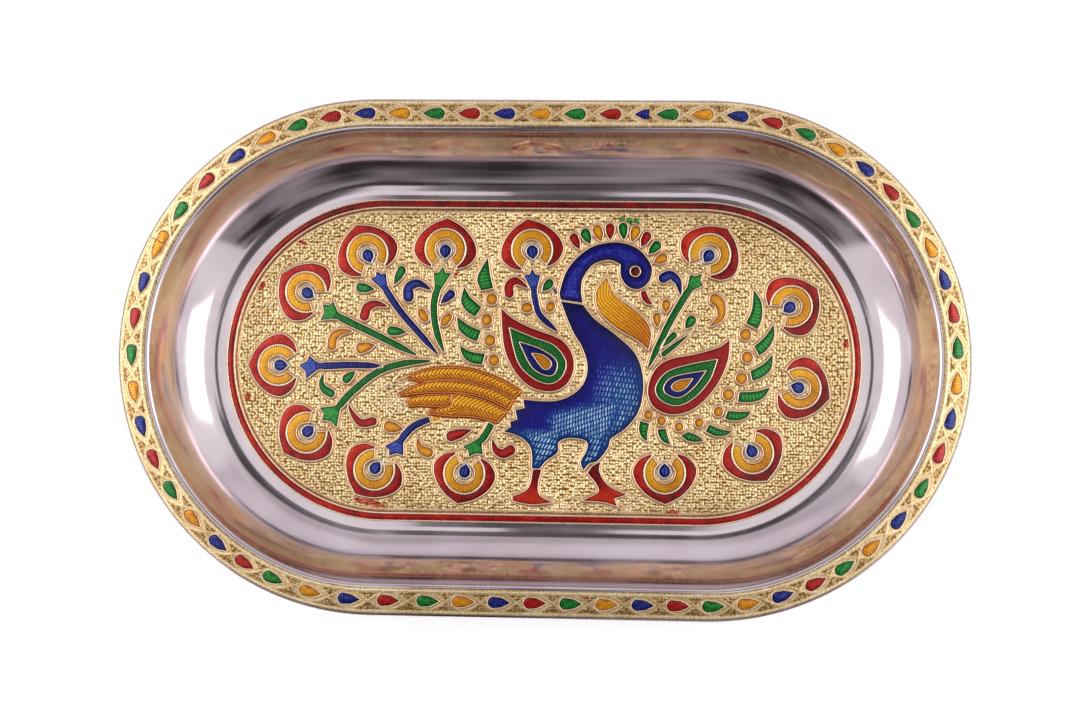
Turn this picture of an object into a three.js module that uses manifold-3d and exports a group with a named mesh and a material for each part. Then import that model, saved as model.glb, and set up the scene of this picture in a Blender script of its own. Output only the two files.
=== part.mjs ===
// Enamelled oval serving tray.
// A pressed steel pan carries an embossed gilt panel on its floor and two embossed gilt bands on
// its rim. Coloured enamel fills the sunken cells of the panel: a peacock with paisley wings,
// tail plumes and thirteen eye feathers on stems.
// Millimetres, +Z up. The origin is on the resting plane, under the middle of the tray.

import * as THREE from 'three';
import { mergeVertices } from 'three/addons/utils/BufferGeometryUtils.js';
import Module from 'manifold-3d';

const wasm = await Module();
wasm.setup();

// Driving dimensions of the steel pan
const trayLength = 300;
const trayWidth = 182.7;
const trayHeight = 21.5;
const sheetThickness = 0.7;
const rimWidth = 12;
const rimStartRise = 4;
const rimEndFall = 15;
const coveWidth = 17.4;
const wallAngle = 79;
const coveFullness = 0.56;
const shoulderRadius = 1.4;
const rolledEdgeRadius = 1.5;
const rolledEdgeTurn = 225;

// Driving dimensions of the gilt foils
const glueGap = 0.05;
const panelMargin = 1.3;
const panelThickness = 0.4;
const reliefHeight = 0.9;
const cellDepth = 0.6;
const wallWidth = 0.75;
const borderWidth = 2;
const rimFoilThickness = 0.3;
const rimFoilMargin = 0.3;
const rimBeadWidth = 1.1;
const rimBeadHeight = 0.35;
const longBandDropPitch = 12.457;
const longBandFirstDrop = 5.8;
const shortBandDropPitch = 12.341;
const shortBandFirstDrop = 1.1;
const rimDropLength = 8.8;
const rimDropWidth = 5.4;
const rimDropHeight = 0.5;
const topSeamPlace = 37;
const leftSeamAngle = 152.5;

// Driving dimensions of the enamel
const enamelThickness = 0.5;
const enamelClearance = 0.1;

// Driving dimensions of the picture: from the outermost eye feathers to the edge of the field, and
// how far the picture lies from the middle of the panel
const pictureEndMargin = 4.6;
const pictureSideMargin = 3.2;
const pictureShiftAlong = 0.5;
const pictureShiftAcross = -0.5;

// How finely curves are divided
const endSteps = 18;
const coveSteps = 5;
const shoulderSteps = 3;
const rimSteps = 2;
const rollSteps = 4;
const eyeSideSteps = 5;
const eyeRedArcSteps = 6;
const eyeYellowOuterSteps = 7;
const eyeYellowInnerSteps = 5;
const eyeDropSteps = 4;
const dotSteps = 6;
const headEyeSteps = 7;
const dropSteps = 3;

// Sizes that follow from the driving dimensions
const straightHalf = (trayLength - trayWidth) / 2;
const outerRadius = trayWidth / 2;
const wallTopRadius = outerRadius - rimWidth;
const floorRadius = wallTopRadius - coveWidth;
const panelRadius = floorRadius - panelMargin;
const borderOuterRadius = panelRadius - wallWidth;
const borderInnerRadius = borderOuterRadius - borderWidth;
const fieldRadius = borderInnerRadius - wallWidth;
const panelBottom = sheetThickness + glueGap;
const panelTop = panelBottom + panelThickness;
const reliefTop = panelTop + reliefHeight;
const cellFloor = reliefTop - cellDepth;
const enamelBottom = cellFloor + glueGap;

// Colours and surfaces
function surface(colour, roughness, metalness) {
  return new THREE.MeshStandardMaterial({ color: colour, roughness, metalness });
}
const steel = surface(0xc3b2b6, 0.18, 1);
const gilt = surface(0xd9bd78, 0.35, 1);
const redEnamel = surface(0x9c1616, 0.2, 0.2);
const blueEnamel = surface(0x1c2a8a, 0.2, 0.2);
const greenEnamel = surface(0x12742c, 0.2, 0.2);
const yellowEnamel = surface(0xe09a12, 0.25, 0.2);

const degrees = Math.PI / 180;

function point(x, y) {
  return new THREE.Vector2(x, y);
}

// The pan's upper surface in section, from the floor's edge to the end of the rolled edge.
// Each place has its radius, its height and the heading of the surface in degrees.
function panSection() {
  const shoulderBase = trayHeight - shoulderRadius * (1 - Math.cos(wallAngle * degrees));
  const floorEdge = point(floorRadius, sheetThickness);
  const wallTop = point(wallTopRadius, shoulderBase);
  const wallRise = shoulderBase - sheetThickness;
  const corner = point(wallTopRadius - wallRise / Math.tan(wallAngle * degrees), sheetThickness);
  const cove = new THREE.CubicBezierCurve(
    floorEdge,
    floorEdge.clone().lerp(corner, coveFullness),
    wallTop.clone().lerp(corner, coveFullness),
    wallTop,
  );
  const places = [];
  for (let i = 0; i < coveSteps; i += 1) {
    const at = cove.getPoint(i / coveSteps);
    const along = cove.getTangent(i / coveSteps);
    places.push({ r: at.x, z: at.y, heading: Math.atan2(along.y, along.x) / degrees });
  }
  turn(places, wallTop, wallAngle, rimStartRise, shoulderRadius, shoulderSteps);

  const rimStart = places[places.length - 1];
  const rollStartRadius = outerRadius - rolledEdgeRadius * (1 + Math.sin(-rimEndFall * degrees));
  const stride = (rollStartRadius - rimStart.r) / rimSteps;
  for (let i = 1; i <= rimSteps; i += 1) {
    const last = places[places.length - 1];
    const heading = rimStartRise + ((-rimEndFall - rimStartRise) * i) / rimSteps;
    const slope = (last.heading + heading) / 2;
    places.push({ r: last.r + stride, z: last.z + stride * Math.tan(slope * degrees), heading });
  }
  const rollStart = places[places.length - 1];
  const rimPlaces = places.slice(-rimSteps - 1);
  const rollEnd = -rimEndFall - rolledEdgeTurn;
  places.pop();
  turn(places, point(rollStart.r, rollStart.z), -rimEndFall, rollEnd, rolledEdgeRadius, rollSteps);
  return { places, rimPlaces };
}

// Adds an arc that turns clockwise from one heading to another, starting at a place
function turn(places, start, fromHeading, toHeading, radius, steps) {
  const centre = point(
    start.x + radius * Math.sin(fromHeading * degrees),
    start.y - radius * Math.cos(fromHeading * degrees),
  );
  for (let i = 0; i <= steps; i += 1) {
    const heading = fromHeading + ((toHeading - fromHeading) * i) / steps;
    places.push({
      r: centre.x - radius * Math.sin(heading * degrees),
      z: centre.y + radius * Math.cos(heading * degrees),
      heading,
    });
  }
}

// The place at a height above a section's surface, square to it
function lifted(place, height) {
  return {
    r: place.r - height * Math.sin(place.heading * degrees),
    z: place.z + height * Math.cos(place.heading * degrees),
  };
}

// Stations round the oval, counter-clockwise: a centre on the long axis and a direction
function arcStations(centre, fromAngle, toAngle, steps) {
  const stations = [];
  for (let i = 0; i <= steps; i += 1) {
    const angle = (fromAngle + ((toAngle - fromAngle) * i) / steps) * degrees;
    stations.push({ centre, x: Math.cos(angle), y: Math.sin(angle) });
  }
  return stations;
}

const stepsToSeam = Math.max(2, Math.round(((leftSeamAngle - 90) / 180) * endSteps));
const topSeam = { centre: topSeamPlace, x: 0, y: 1 };
const leftStations = arcStations(-straightHalf, 90, leftSeamAngle, stepsToSeam);
const lowerStations = arcStations(-straightHalf, leftSeamAngle, 270, endSteps - stepsToSeam);
const rightStations = arcStations(straightHalf, -90, 90, endSteps);
const ovalStations = [...rightStations, topSeam, ...leftStations, ...lowerStations.slice(1)];
const shortBandStations = [topSeam, ...leftStations];
const longBandStations = [...lowerStations, ...rightStations, topSeam];

function stationPoint(station, radius, height) {
  return [station.centre + radius * station.x, radius * station.y, height];
}

// Geometry from corner positions and triangles
function geometryOf(positions, triangles) {
  const geometry = new THREE.BufferGeometry();
  geometry.setAttribute('position', new THREE.Float32BufferAttribute(positions.flat(), 3));
  geometry.setIndex(triangles.flat());
  return geometry;
}

// A section stands at each station, listed out along one side of the sheet and back along the other
function sectionPositions(section, stations) {
  return stations.flatMap((station) => section.map((place) => stationPoint(station, place.r, place.z)));
}

// Triangles between neighbouring stations, round the whole section or from its first place to its last
function skin(rows, stationCount, wholeSection, wholeOval) {
  const triangles = [];
  const runs = wholeOval ? stationCount : stationCount - 1;
  const bands = wholeSection ? rows : rows - 1;
  for (let i = 0; i < runs; i += 1) {
    const here = i * rows;
    const next = ((i + 1) % stationCount) * rows;
    for (let k = 0; k < bands; k += 1) {
      const up = (k + 1) % rows;
      triangles.push([here + k, here + up, next + up], [here + k, next + up, next + k]);
    }
  }
  return triangles;
}

// A strip that ends at its first and last stations, each closed by the section itself
function stripGeometry(section, stations) {
  const rows = section.length;
  const triangles = skin(rows, stations.length, true, false);
  const last = (stations.length - 1) * rows;
  for (let k = 0; k + 1 < rows / 2; k += 1) {
    const [a, b, c, d] = [k, k + 1, rows - 2 - k, rows - 1 - k];
    triangles.push([a, c, b], [a, d, c]);
    triangles.push([last + a, last + b, last + c], [last + a, last + c, last + d]);
  }
  return outwards(geometryOf(sectionPositions(section, stations), triangles));
}

// Triangles that fill an outline and run round in the outline's own direction
function filled(outline) {
  const direction = Math.sign(THREE.ShapeUtils.area(outline));
  return THREE.ShapeUtils.triangulateShape(outline, []).map(([a, b, c]) => {
    const same = Math.sign(THREE.ShapeUtils.area([outline[a], outline[b], outline[c]])) === direction;
    return same ? [a, b, c] : [a, c, b];
  });
}

// Turns a closed geometry right side out
function outwards(geometry) {
  const at = geometry.getAttribute('position');
  const index = geometry.getIndex();
  const [a, b, c] = [new THREE.Vector3(), new THREE.Vector3(), new THREE.Vector3()];
  let volume = 0;
  for (let i = 0; i < index.count; i += 3) {
    a.fromBufferAttribute(at, index.getX(i));
    b.fromBufferAttribute(at, index.getX(i + 1));
    c.fromBufferAttribute(at, index.getX(i + 2));
    volume += a.dot(b.cross(c));
  }
  if (volume < 0) {
    for (let i = 0; i < index.count; i += 3) {
      const second = index.getX(i + 1);
      index.setX(i + 1, index.getX(i + 2));
      index.setX(i + 2, second);
    }
  }
  return geometry;
}

// The pan: one sheet that is flat on the floor, curved in the cove and rolled at the edge
function panGeometry(places) {
  const underside = places.map((place) => lifted(place, -sheetThickness)).reverse();
  const section = [...places, ...underside];
  const rows = section.length;
  const triangles = skin(rows, ovalStations.length, false, true);
  const floor = ovalStations.map((station) => point(...stationPoint(station, floorRadius, 0)));
  for (const [a, b, c] of filled(floor)) {
    triangles.push([a * rows, b * rows, c * rows]);
    triangles.push([a * rows + rows - 1, c * rows + rows - 1, b * rows + rows - 1]);
  }
  return outwards(geometryOf(sectionPositions(section, ovalStations), triangles));
}

// Solids for cutting and joining
function solidOf(geometry) {
  const bare = geometry.clone();
  bare.deleteAttribute('normal');
  bare.deleteAttribute('uv');
  const merged = mergeVertices(bare, 1e-4);
  return new wasm.Manifold(new wasm.Mesh({
    numProp: 3,
    vertProperties: new Float32Array(merged.getAttribute('position').array),
    triVerts: new Uint32Array(merged.getIndex().array),
  }));
}

function joined(solids) {
  return solids.reduce((whole, next) => whole.add(next));
}

function geometryOfSolid(solid) {
  const mesh = solid.getMesh();
  const geometry = new THREE.BufferGeometry();
  geometry.setAttribute('position', new THREE.BufferAttribute(new Float32Array(mesh.vertProperties), 3));
  geometry.setIndex(new THREE.BufferAttribute(new Uint32Array(mesh.triVerts), 1));
  return geometry;
}

// An outline raised from one height to another, with holes
function raised(outline, holes, bottom, top) {
  const shape = new THREE.Shape(counterClockwise(outline));
  shape.holes = holes.map((hole) => new THREE.Path(counterClockwise(hole).reverse()));
  const geometry = new THREE.ExtrudeGeometry(shape, { depth: top - bottom, bevelEnabled: false });
  geometry.translate(0, 0, bottom);
  return geometry;
}

function counterClockwise(outline) {
  return THREE.ShapeUtils.area(outline) > 0 ? [...outline] : [...outline].reverse();
}

// An outline moved outwards by a distance, or inwards where the distance is negative
function grown(outline, distance) {
  const side = THREE.ShapeUtils.area(outline) > 0 ? 1 : -1;
  const longestSpike = 2;
  return outline.map((here, i) => {
    const before = outline[(i + outline.length - 1) % outline.length];
    const after = outline[(i + 1) % outline.length];
    const first = here.clone().sub(before).normalize();
    const second = after.clone().sub(here).normalize();
    const normal = point(first.y + second.y, -first.x - second.x).normalize();
    const spread = Math.max(normal.x * first.y - normal.y * first.x, 1 / longestSpike);
    return here.clone().addScaledVector(normal, (side * distance) / spread);
  });
}

// Outlines of the picture are closed runs of curves and corners
function curveThrough(points, steps) {
  return new THREE.SplineCurve(cornersAt(points)).getPoints(steps).slice(0, -1);
}

function cornersAt(points) {
  return points.map(([x, y]) => point(x, y));
}

function closedOutline(...runs) {
  return scaled(runs.flat());
}

function scaled(outline) {
  return outline.map((at) => pictureToPanel(at.x, at.y));
}

function pictureToPanel(x, y) {
  return point(x * stretchAlong + pictureShiftAlong, y * stretchAcross + pictureShiftAcross);
}

function around([x, y], radius, angle) {
  return point(x + radius * Math.cos(angle * degrees), y + radius * Math.sin(angle * degrees));
}

function arcPoints(x, y, radius, fromAngle, toAngle, steps) {
  const points = [];
  for (let i = 0; i <= steps; i += 1) {
    points.push(around([x, y], radius, fromAngle + ((toAngle - fromAngle) * i) / steps));
  }
  return points;
}

// The two sides of a strip that follows a curve through points, from half its width at each of them
function stripSides(path, halfWidths) {
  const curve = new THREE.SplineCurve(cornersAt(path));
  const left = [];
  const right = [];
  halfWidths.forEach((halfWidth, i) => {
    const at = curve.getPoint(i / (path.length - 1));
    const along = curve.getTangent(i / (path.length - 1));
    left.push(point(at.x - along.y * halfWidth, at.y + along.x * halfWidth));
    right.push(point(at.x + along.y * halfWidth, at.y - along.x * halfWidth));
  });
  return { left, right };
}

function ovalOutline(radius) {
  return ovalStations.filter((station) => station !== topSeam).map((station) => {
    const [x, y] = stationPoint(station, radius, 0);
    return point(x, y);
  });
}

// Eye feather, drawn with its tip towards +X and its blue drop at the origin
const eyeRingCentre = 0.7;
const eyeYellowRadius = 7.3;
const eyeYellowInnerRadius = 4.2;
const eyeRedInnerRadius = eyeYellowRadius + wallWidth;
const eyeOpening = 38;
const eyeTip = [12.3, 0];
const eyeSide = [[9.3, 5.9], [4.6, 10.3], [-0.5, 11.7], [-4.6, 9]];
const eyeHorn = [-6.3, 5];
const eyeBack = [-6.9, 3.8];
const eyeDropTip = [-2.9, 0];
const eyeDropMiddle = 0.2;
const eyeDropRadius = 2.1;
const eyeDropShoulder = 115;

function featherOutline(...runs) {
  return runs.flat().map((at) => at.clone().multiplyScalar(featherScale));
}

function mirrored(points) {
  return points.map(([x, y]) => [x, -y]).reverse();
}

// An arc round the eye's ring, from one side of its opening the long way to the other
function eyeArc(radius, steps) {
  const end = 180 - eyeOpening;
  return arcPoints(eyeRingCentre, 0, radius, end, -end, steps);
}

function eyeRedOutline() {
  return featherOutline(
    curveThrough([eyeTip, ...eyeSide, eyeHorn], eyeSideSteps),
    [point(...eyeHorn)],
    eyeArc(eyeRedInnerRadius, eyeRedArcSteps),
    curveThrough([...mirrored([...eyeSide, eyeHorn]), eyeTip], eyeSideSteps),
  );
}

function eyeYellowOutline() {
  return featherOutline(
    eyeArc(eyeYellowRadius, eyeYellowOuterSteps).reverse(),
    eyeArc(eyeYellowInnerRadius, eyeYellowInnerSteps),
  );
}

function eyeDropOutline() {
  return featherOutline(
    [point(...eyeDropTip)],
    arcPoints(eyeDropMiddle, 0, eyeDropRadius, -eyeDropShoulder, eyeDropShoulder, eyeDropSteps),
  );
}

function eyePlateauOutline() {
  return featherOutline(
    curveThrough([eyeTip, ...eyeSide, eyeHorn], eyeSideSteps),
    cornersAt([eyeBack, ...mirrored([eyeBack])]),
    curveThrough([...mirrored([...eyeSide, eyeHorn]), eyeTip], eyeSideSteps).slice(1),
  );
}

// Each eye feather: its name, the place of its blue drop and the direction of its tip
const eyeFeathers = [
  ['upper_left', -90, 25.5, 146],
  ['top_left', -67, 40, 112],
  ['top_centre_left', -37.5, 42, 86],
  ['top_centre', -4.5, 42, 99],
  ['left', -100, -2, 180],
  ['lower_left', -89, -27, -139],
  ['bottom_left', -63, -40.5, -127],
  ['bottom_centre_left', -29, -41.3, -102],
  ['top_right', 62, 41, 56],
  ['upper_right', 92.5, 22, 34],
  ['right', 96, -8, -18],
  ['lower_right', 79, -32, -62],
  ['bottom_right', 46.5, -40, -88],
];

// The picture is drawn near its real size, then fitted to the field's length and width
const drawnHalfLength = Math.max(...eyeFeathers.map(([, x]) => Math.abs(x))) + eyeTip[0];
const drawnHalfWidth = Math.max(...eyeFeathers.map(([, , y]) => Math.abs(y))) + eyeTip[0];
const stretchAlong = (straightHalf + fieldRadius - pictureEndMargin) / drawnHalfLength;
const stretchAcross = (fieldRadius - pictureSideMargin) / drawnHalfWidth;
const featherScale = (stretchAlong + stretchAcross) / 2;

// Stems run from a flared head under an eye feather to an end near the bird.
// Each has its name, its colour, the head's three corners, the path, and half the shaft's width
// along it and at its end.
const stems = [
  ['top_left', blueEnamel, [[-63.6, 34], [-60.1, 33.4], [-65.8, 31.2]],
    [[-61, 29], [-58.3, 24.5], [-53.8, 18.3], [-46.5, 10.2], [-39.9, 2.9]], 1.3, 0.2],
  ['top_centre_left', greenEnamel, [[-38.3, 36], [-35.2, 33.4], [-41.8, 33.5]],
    [[-39.8, 29], [-41.3, 24], [-41.5, 18], [-40.1, 10.5], [-37.5, 3.9]], 1.3, 0.2],
  ['top_centre', blueEnamel, [[-4.4, 35.4], [-1.3, 33], [-7.4, 33]],
    [[-3.8, 29], [-3.2, 24], [-1.2, 18], [5.3, 12.2]], 1.2, 0.2],
  ['upper_left', greenEnamel, [[-84, 21.2], [-80, 22.3], [-84.8, 15.4]],
    [[-79.5, 17.5], [-74, 14.8], [-64, 10.2], [-48, 2.5]], 1.3, 0.2],
  ['left', blueEnamel, [[-92.6, -1.9], [-88.8, 1.6], [-90, -7]],
    [[-86.5, -2.2], [-81, -2], [-72, -1.6], [-60.9, -1.9]], 1.3, 0.2],
  ['lower_left', greenEnamel, [[-83.6, -22.5], [-84.5, -18], [-78, -25.2]],
    [[-78.5, -18.8], [-72.3, -11.8], [-62.9, -4.3], [-53.4, -0.9], [-42.6, 0.3]], 1.3, 0.2],
  ['bottom_left', blueEnamel, [[-57.8, -35.6], [-59.4, -32.2], [-52.4, -35.4]],
    [[-54.2, -31.2], [-51.3, -27], [-47.5, -23.8], [-42.6, -21.8]], 1.4, 0.95],
  ['bottom_centre_left', greenEnamel, [[-27.4, -35.4], [-29.6, -32], [-22.2, -34.6]],
    [[-24.4, -31], [-21.5, -27.6], [-19.1, -23.3]], 1.4, 1.2],
  ['top_right', greenEnamel, [[59.5, 34.2], [55, 33.7], [60, 30]],
    [[55.8, 29.6], [53.2, 25.6], [47.5, 15.5], [39.9, -1]], 1.3, 0.2],
];

function stemOutline(head, path, halfWidth, endHalfWidth) {
  const taperedShare = 0.8;
  const halfWidths = path.map(() => halfWidth);
  halfWidths[path.length - 2] *= taperedShare;
  halfWidths[path.length - 1] = endHalfWidth;
  const { left, right } = stripSides(path, halfWidths);
  const [apex, oneCorner, otherCorner] = cornersAt(head);
  const leftIsNearer = left[0].distanceTo(oneCorner) < left[0].distanceTo(otherCorner);
  const cornerByLeft = leftIsNearer ? oneCorner : otherCorner;
  const cornerByRight = leftIsNearer ? otherCorner : oneCorner;
  return scaled([apex, cornerByLeft, ...left, ...right.reverse(), cornerByRight]);
}

// The bird
const neckAndHead = closedOutline(
  curveThrough([[6.6, 24], [6.3, 27.5], [9.5, 36.2], [17.2, 43.4], [26.9, 45.7], [35, 43.5], [39.9, 38.2],
    [40.6, 34], [38.9, 30.2], [35.5, 28.3], [31.7, 29.4], [29.2, 33], [29, 37.5]], 15),
  curveThrough([[29, 37.5], [25.8, 39], [22.6, 39], [18.1, 37], [14.8, 32.2], [14.1, 27.6],
    [14.8, 23]], 6),
  [point(14.8, 23)],
);
const headEyePlace = [34.5, 34.9];
const headEyeRadius = 1.7;
const headEyeRingRadius = headEyeRadius + wallWidth;
const beak = closedOutline(
  cornersAt([[36.7, 27.1], [38.5, 27.6], [39.3, 25.6], [41, 22.7], [39.2, 22.8], [37.3, 24.6]]),
);

const body = closedOutline(
  curveThrough([[6.7, 23.2], [11, 12.8], [15, 6], [17, -1], [15.6, -7.5], [11, -12], [4, -14.4],
    [-7, -14]], 9),
  cornersAt([[-7, -14], [-6.6, -17.1], [-10, -18], [-9.2, -21.4], [-12, -22.4], [-11.6, -24.2]]),
  curveThrough([[-14.2, -25.9], [-10, -27], [-6, -29.2], [-3.7, -33], [-3.4, -39.6]], 4),
  curveThrough([[-3.4, -39.6], [-0.6, -39.6], [2, -36.5], [6, -33.5], [6.5, -29.6], [10, -28],
    [15.5, -28.4], [17.4, -30], [17, -33], [15, -37], [16, -40]], 11),
  curveThrough([[16, -40], [18, -37.5], [21.4, -36.2], [25, -31.5], [26.2, -28], [31.6, -24], [36.2, -18],
    [38, -10], [37.4, -2.5], [34.4, 4.5], [27, 11.2], [19.6, 16.6], [15, 22]], 12),
  [point(15, 22)],
);

const leftFoot = closedOutline(cornersAt([
  [-3.1, -40.4], [-0.1, -40.3], [-1.2, -45.5], [-1, -48.9], [4.2, -52.3], [-3.8, -53.1], [-10.7, -51.8],
  [-10.7, -50.5], [-6, -48.4], [-3.9, -45.5],
]));
const rightFoot = closedOutline(cornersAt([
  [17.6, -41], [22.2, -37], [22, -41], [25.6, -46], [32, -49], [27.6, -50.4], [28.6, -53.2],
  [23.4, -51.8], [16, -51.4], [21.6, -48.4], [21, -45.2],
]));

const chestPlume = closedOutline(
  curveThrough([[23.8, 32.6], [20, 27], [21.2, 20], [27.7, 13.7], [35.5, 9.3], [39.7, 5.6]], 7),
  curveThrough([[39.7, 5.6], [40.6, 12], [37.9, 17.1], [32.7, 21.4], [26.9, 25.8], [24.9, 29.7],
    [23.8, 32.6]], 7),
);

// Tail plumes from the top one down, each an upper and a lower edge
const tailPlumes = [
  closedOutline(
    curveThrough([[-8.6, -10.9], [-16.4, -6.6], [-26.5, -3.2], [-36.1, -2.3], [-44.2, -3.5],
      [-51.5, -6.1]], 5),
    curveThrough([[-51.5, -6.1], [-44.6, -7.1], [-36.5, -6.3], [-26.9, -7.1], [-18.3, -9.3],
      [-10.8, -13]], 4),
    [point(-10.8, -13)],
  ),
  closedOutline(
    curveThrough([[-11.2, -14.1], [-18.7, -10.4], [-27.4, -8.2], [-36.5, -7.4], [-44.6, -8.2],
      [-54.2, -12.6]], 5),
    curveThrough([[-54.2, -12.6], [-43.6, -11.5], [-35, -11.2], [-26.9, -11.9], [-19.6, -14],
      [-13, -17.1]], 4),
    [point(-13, -17.1)],
  ),
  closedOutline(
    curveThrough([[-34.6, -12.4], [-43.6, -12.7], [-50.4, -13.9]], 3),
    curveThrough([[-50.4, -13.9], [-50.4, -16.4], [-45.5, -16.3], [-39.5, -16.6], [-35.8, -15.4],
      [-34.6, -12.4]], 5),
  ),
  closedOutline(
    curveThrough([[-13.6, -18.2], [-20.6, -15.1], [-27.3, -13.1], [-33.2, -12.5]], 4),
    curveThrough([[-33.2, -12.5], [-34.6, -16.2], [-38.7, -17.7], [-42.6, -19.4]], 3),
    curveThrough([[-42.6, -19.4], [-35.4, -20.1], [-27.7, -20.2], [-21.9, -21.1], [-17, -22.2]], 4),
    [point(-17, -22.2)],
  ),
];

// Wings are paisleys nested one inside another, from the outside in
const leftWing = {
  red: closedOutline(
    curveThrough([[-15.9, 20.4], [-11.9, 16.8], [-4.9, 13.2], [4.5, 9.9], [8.6, 7.2], [11.3, 2.5],
      [11.5, -3], [8.6, -8.2], [2.9, -10.5], [-4.6, -8.7], [-10.6, -2.8], [-14.6, 6.3],
      [-15.9, 20.4]], 13)),
  green: closedOutline(
    curveThrough([[-12.6, 13], [-3.9, 9.5], [4.1, 6.5], [8.5, 0.8], [7.2, -4.8], [2.6, -7.5], [-3.7, -5.3],
      [-9.2, 0.6], [-12.6, 13]], 11)),
  blue: closedOutline(
    curveThrough([[-8.7, 7.7], [-0.5, 4.9], [4.9, 1], [4.7, -3.3], [1.8, -4.5], [-3.9, -1.4],
      [-8.7, 7.7]], 9)),
  orange: closedOutline(
    curveThrough([[-3.8, 3.4], [0.1, 2.8], [3, 0.2], [2.3, -1.7], [0.2, -1.7], [-3.8, 3.4]], 7)),
};
const rightWing = {
  red: closedOutline(
    curveThrough([[70.2, 9.5], [69.3, 1], [64.7, -8.6], [56.9, -16.4], [48.6, -18.5], [42.1, -15.7],
      [39.9, -9.7], [42.3, -2.3], [47.8, 1.8], [56.6, 3.7], [65.8, 6.4], [70.2, 9.5]], 13)),
  green: closedOutline(
    curveThrough([[65.5, 2], [62.7, -5.5], [57.1, -12.1], [50.9, -15.1], [44.9, -13.2], [42.9, -8.7],
      [46.9, -3], [55.5, 0], [65.5, 2]], 11)),
  blue: closedOutline(
    curveThrough([[61.2, -2.3], [57, -8.1], [51.8, -12], [46.9, -10.8], [46.1, -8], [49.8, -4.6],
      [61.2, -2.3]], 9)),
  orange: closedOutline(
    curveThrough([[56.2, -5.3], [53.7, -8.6], [50.6, -9.7], [48.9, -8.2], [51.2, -6.2], [56.2, -5.3]], 7)),
};

// Small cells that stand up as bosses of the panel foil

// Flame leaves beside the wings: the tip, two places down the outer side, the outer and the inner
// corner of the base, and a place up the inner side
const flameLeaves = [
  [[-21.3, 39.4], [-25, 32.6], [-24.6, 29.1], [-23.6, 27.2], [-19.2, 28.2], [-20.5, 33.6]],
  [[-30.1, 28.3], [-31.2, 23.1], [-29.2, 19.5], [-25.8, 17.3], [-23.5, 20.8], [-27.5, 24.2]],
  [[-32.6, 17], [-31.8, 12.3], [-28.5, 9.4], [-25, 8], [-23.6, 11.9], [-28.1, 13.8]],
  [[-31.5, 6.2], [-30.1, 2.2], [-26.9, -0.2], [-22.9, -0.6], [-22, 3.1], [-27.5, 4]],
  [[79, 28.3], [81.9, 23.6], [82.1, 17.9], [80.5, 13.7], [76.3, 16], [78.4, 20.9]],
  [[86.5, 15.5], [86.8, 10.9], [84.4, 6.4], [81.3, 3.9], [79.5, 7.2], [83.5, 11]],
  [[86.3, 4.2], [85.9, -0.7], [82.8, -4], [79, -5.6], [78.1, -2.1], [82.7, 0.4]],
  [[85.5, -8.2], [82.9, -12], [78.5, -13.6], [73.6, -13.5], [74.2, -10.1], [80.2, -9.7]],
  [[78.5, -17.2], [76.6, -19.5], [72.8, -20.6], [68.8, -20], [69.9, -17.1], [74.1, -17.4]],
  [[71.5, -24.7], [68.7, -26.3], [64.9, -26.3], [61.7, -24.7], [63, -22.3], [67.1, -24]],
  [[60.9, -28.3], [57.7, -28.8], [54.8, -28.2], [52.6, -26.6], [55.1, -25.2], [58.3, -26.4]],
  [[48.5, -29.9], [45.8, -28.8], [44.2, -26.7], [43.7, -24.4], [46.7, -24.2], [47.3, -26.7]],
  [[39.8, -28.7], [37.7, -27.2], [36.7, -24.6], [37.1, -21.4], [40.4, -22.3], [39.8, -25.5]],
];

// Round dots between the flame leaves and the wings: the middle and the radius
const dots = [
  [-19.6, 23.9, 2.05], [-21.4, 16.1, 2.05], [-20.1, 8.3, 2.05], [-18.5, 0.8, 2.05],
  [76.1, 11.6, 2.05], [76.9, 3.1, 2.05], [74.8, -4.8, 2.05], [70, -10.9, 2.05],
  [66.3, -17.4, 1.7], [59.2, -21.7, 1.6], [51.6, -23.3, 1.6], [45, -21.1, 1.6], [40.1, -19, 1.6],
];

// Drops: the tip, then the middle of the round end, and the round end's radius
const drops = [
  [[13.4, 43.1], [11.2, 47.3], 1.65], [[17.5, 45.1], [15.5, 49], 1.8], [[21.6, 46.2], [20, 50.3], 1.8],
  [[24.9, 46.7], [24.8, 51.2], 1.65], [[30.1, 46.8], [29.7, 51.4], 1.7],
  [[33.1, 46.1], [34.5, 50.3], 1.75], [[36.6, 44.2], [38.7, 48.1], 1.65],
  [[39.3, 41.5], [42.4, 44.7], 1.7], [[41.4, 38.3], [44.7, 40], 1.75],
  [[-64.3, 27.2], [-69.6, 27.8], 1.75], [[-56.9, 29], [-54.1, 34.4], 1.65],
  [[-51.9, 11.1], [-57.6, 11.5], 1.7], [[-63.9, 6.1], [-69.1, 4.8], 1.9], [[-71.2, -4], [-74.5, -6.9], 1.6],
  [[-52.5, -25.7], [-58, -24.7], 1.95], [[-26.5, -25.5], [-34.2, -28], 1.9], [[-0.5, 27.2], [2.1, 30], 1.6],
  [[-39, 22.1], [-35.2, 25.6], 1.65], [[46.1, 19.7], [46.3, 22.7], 1.6], [[43.1, 14], [42.8, 17.8], 1.45],
  [[53.6, 13.6], [55.8, 16.7], 1.75], [[44.4, 6.2], [49.2, 11], 1.2],
];

// Seeds: small ovals, with their long and short half widths and their turn
const seeds = [
  [-45.6, 17.5, 2.7, 1.6, -55], [-36.8, 15.9, 2.8, 1.5, 50],
  [-6.2, 20.8, 2.2, 1.7, 0], [2.6, 21.3, 1.9, 1.6, 50],
];

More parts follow.
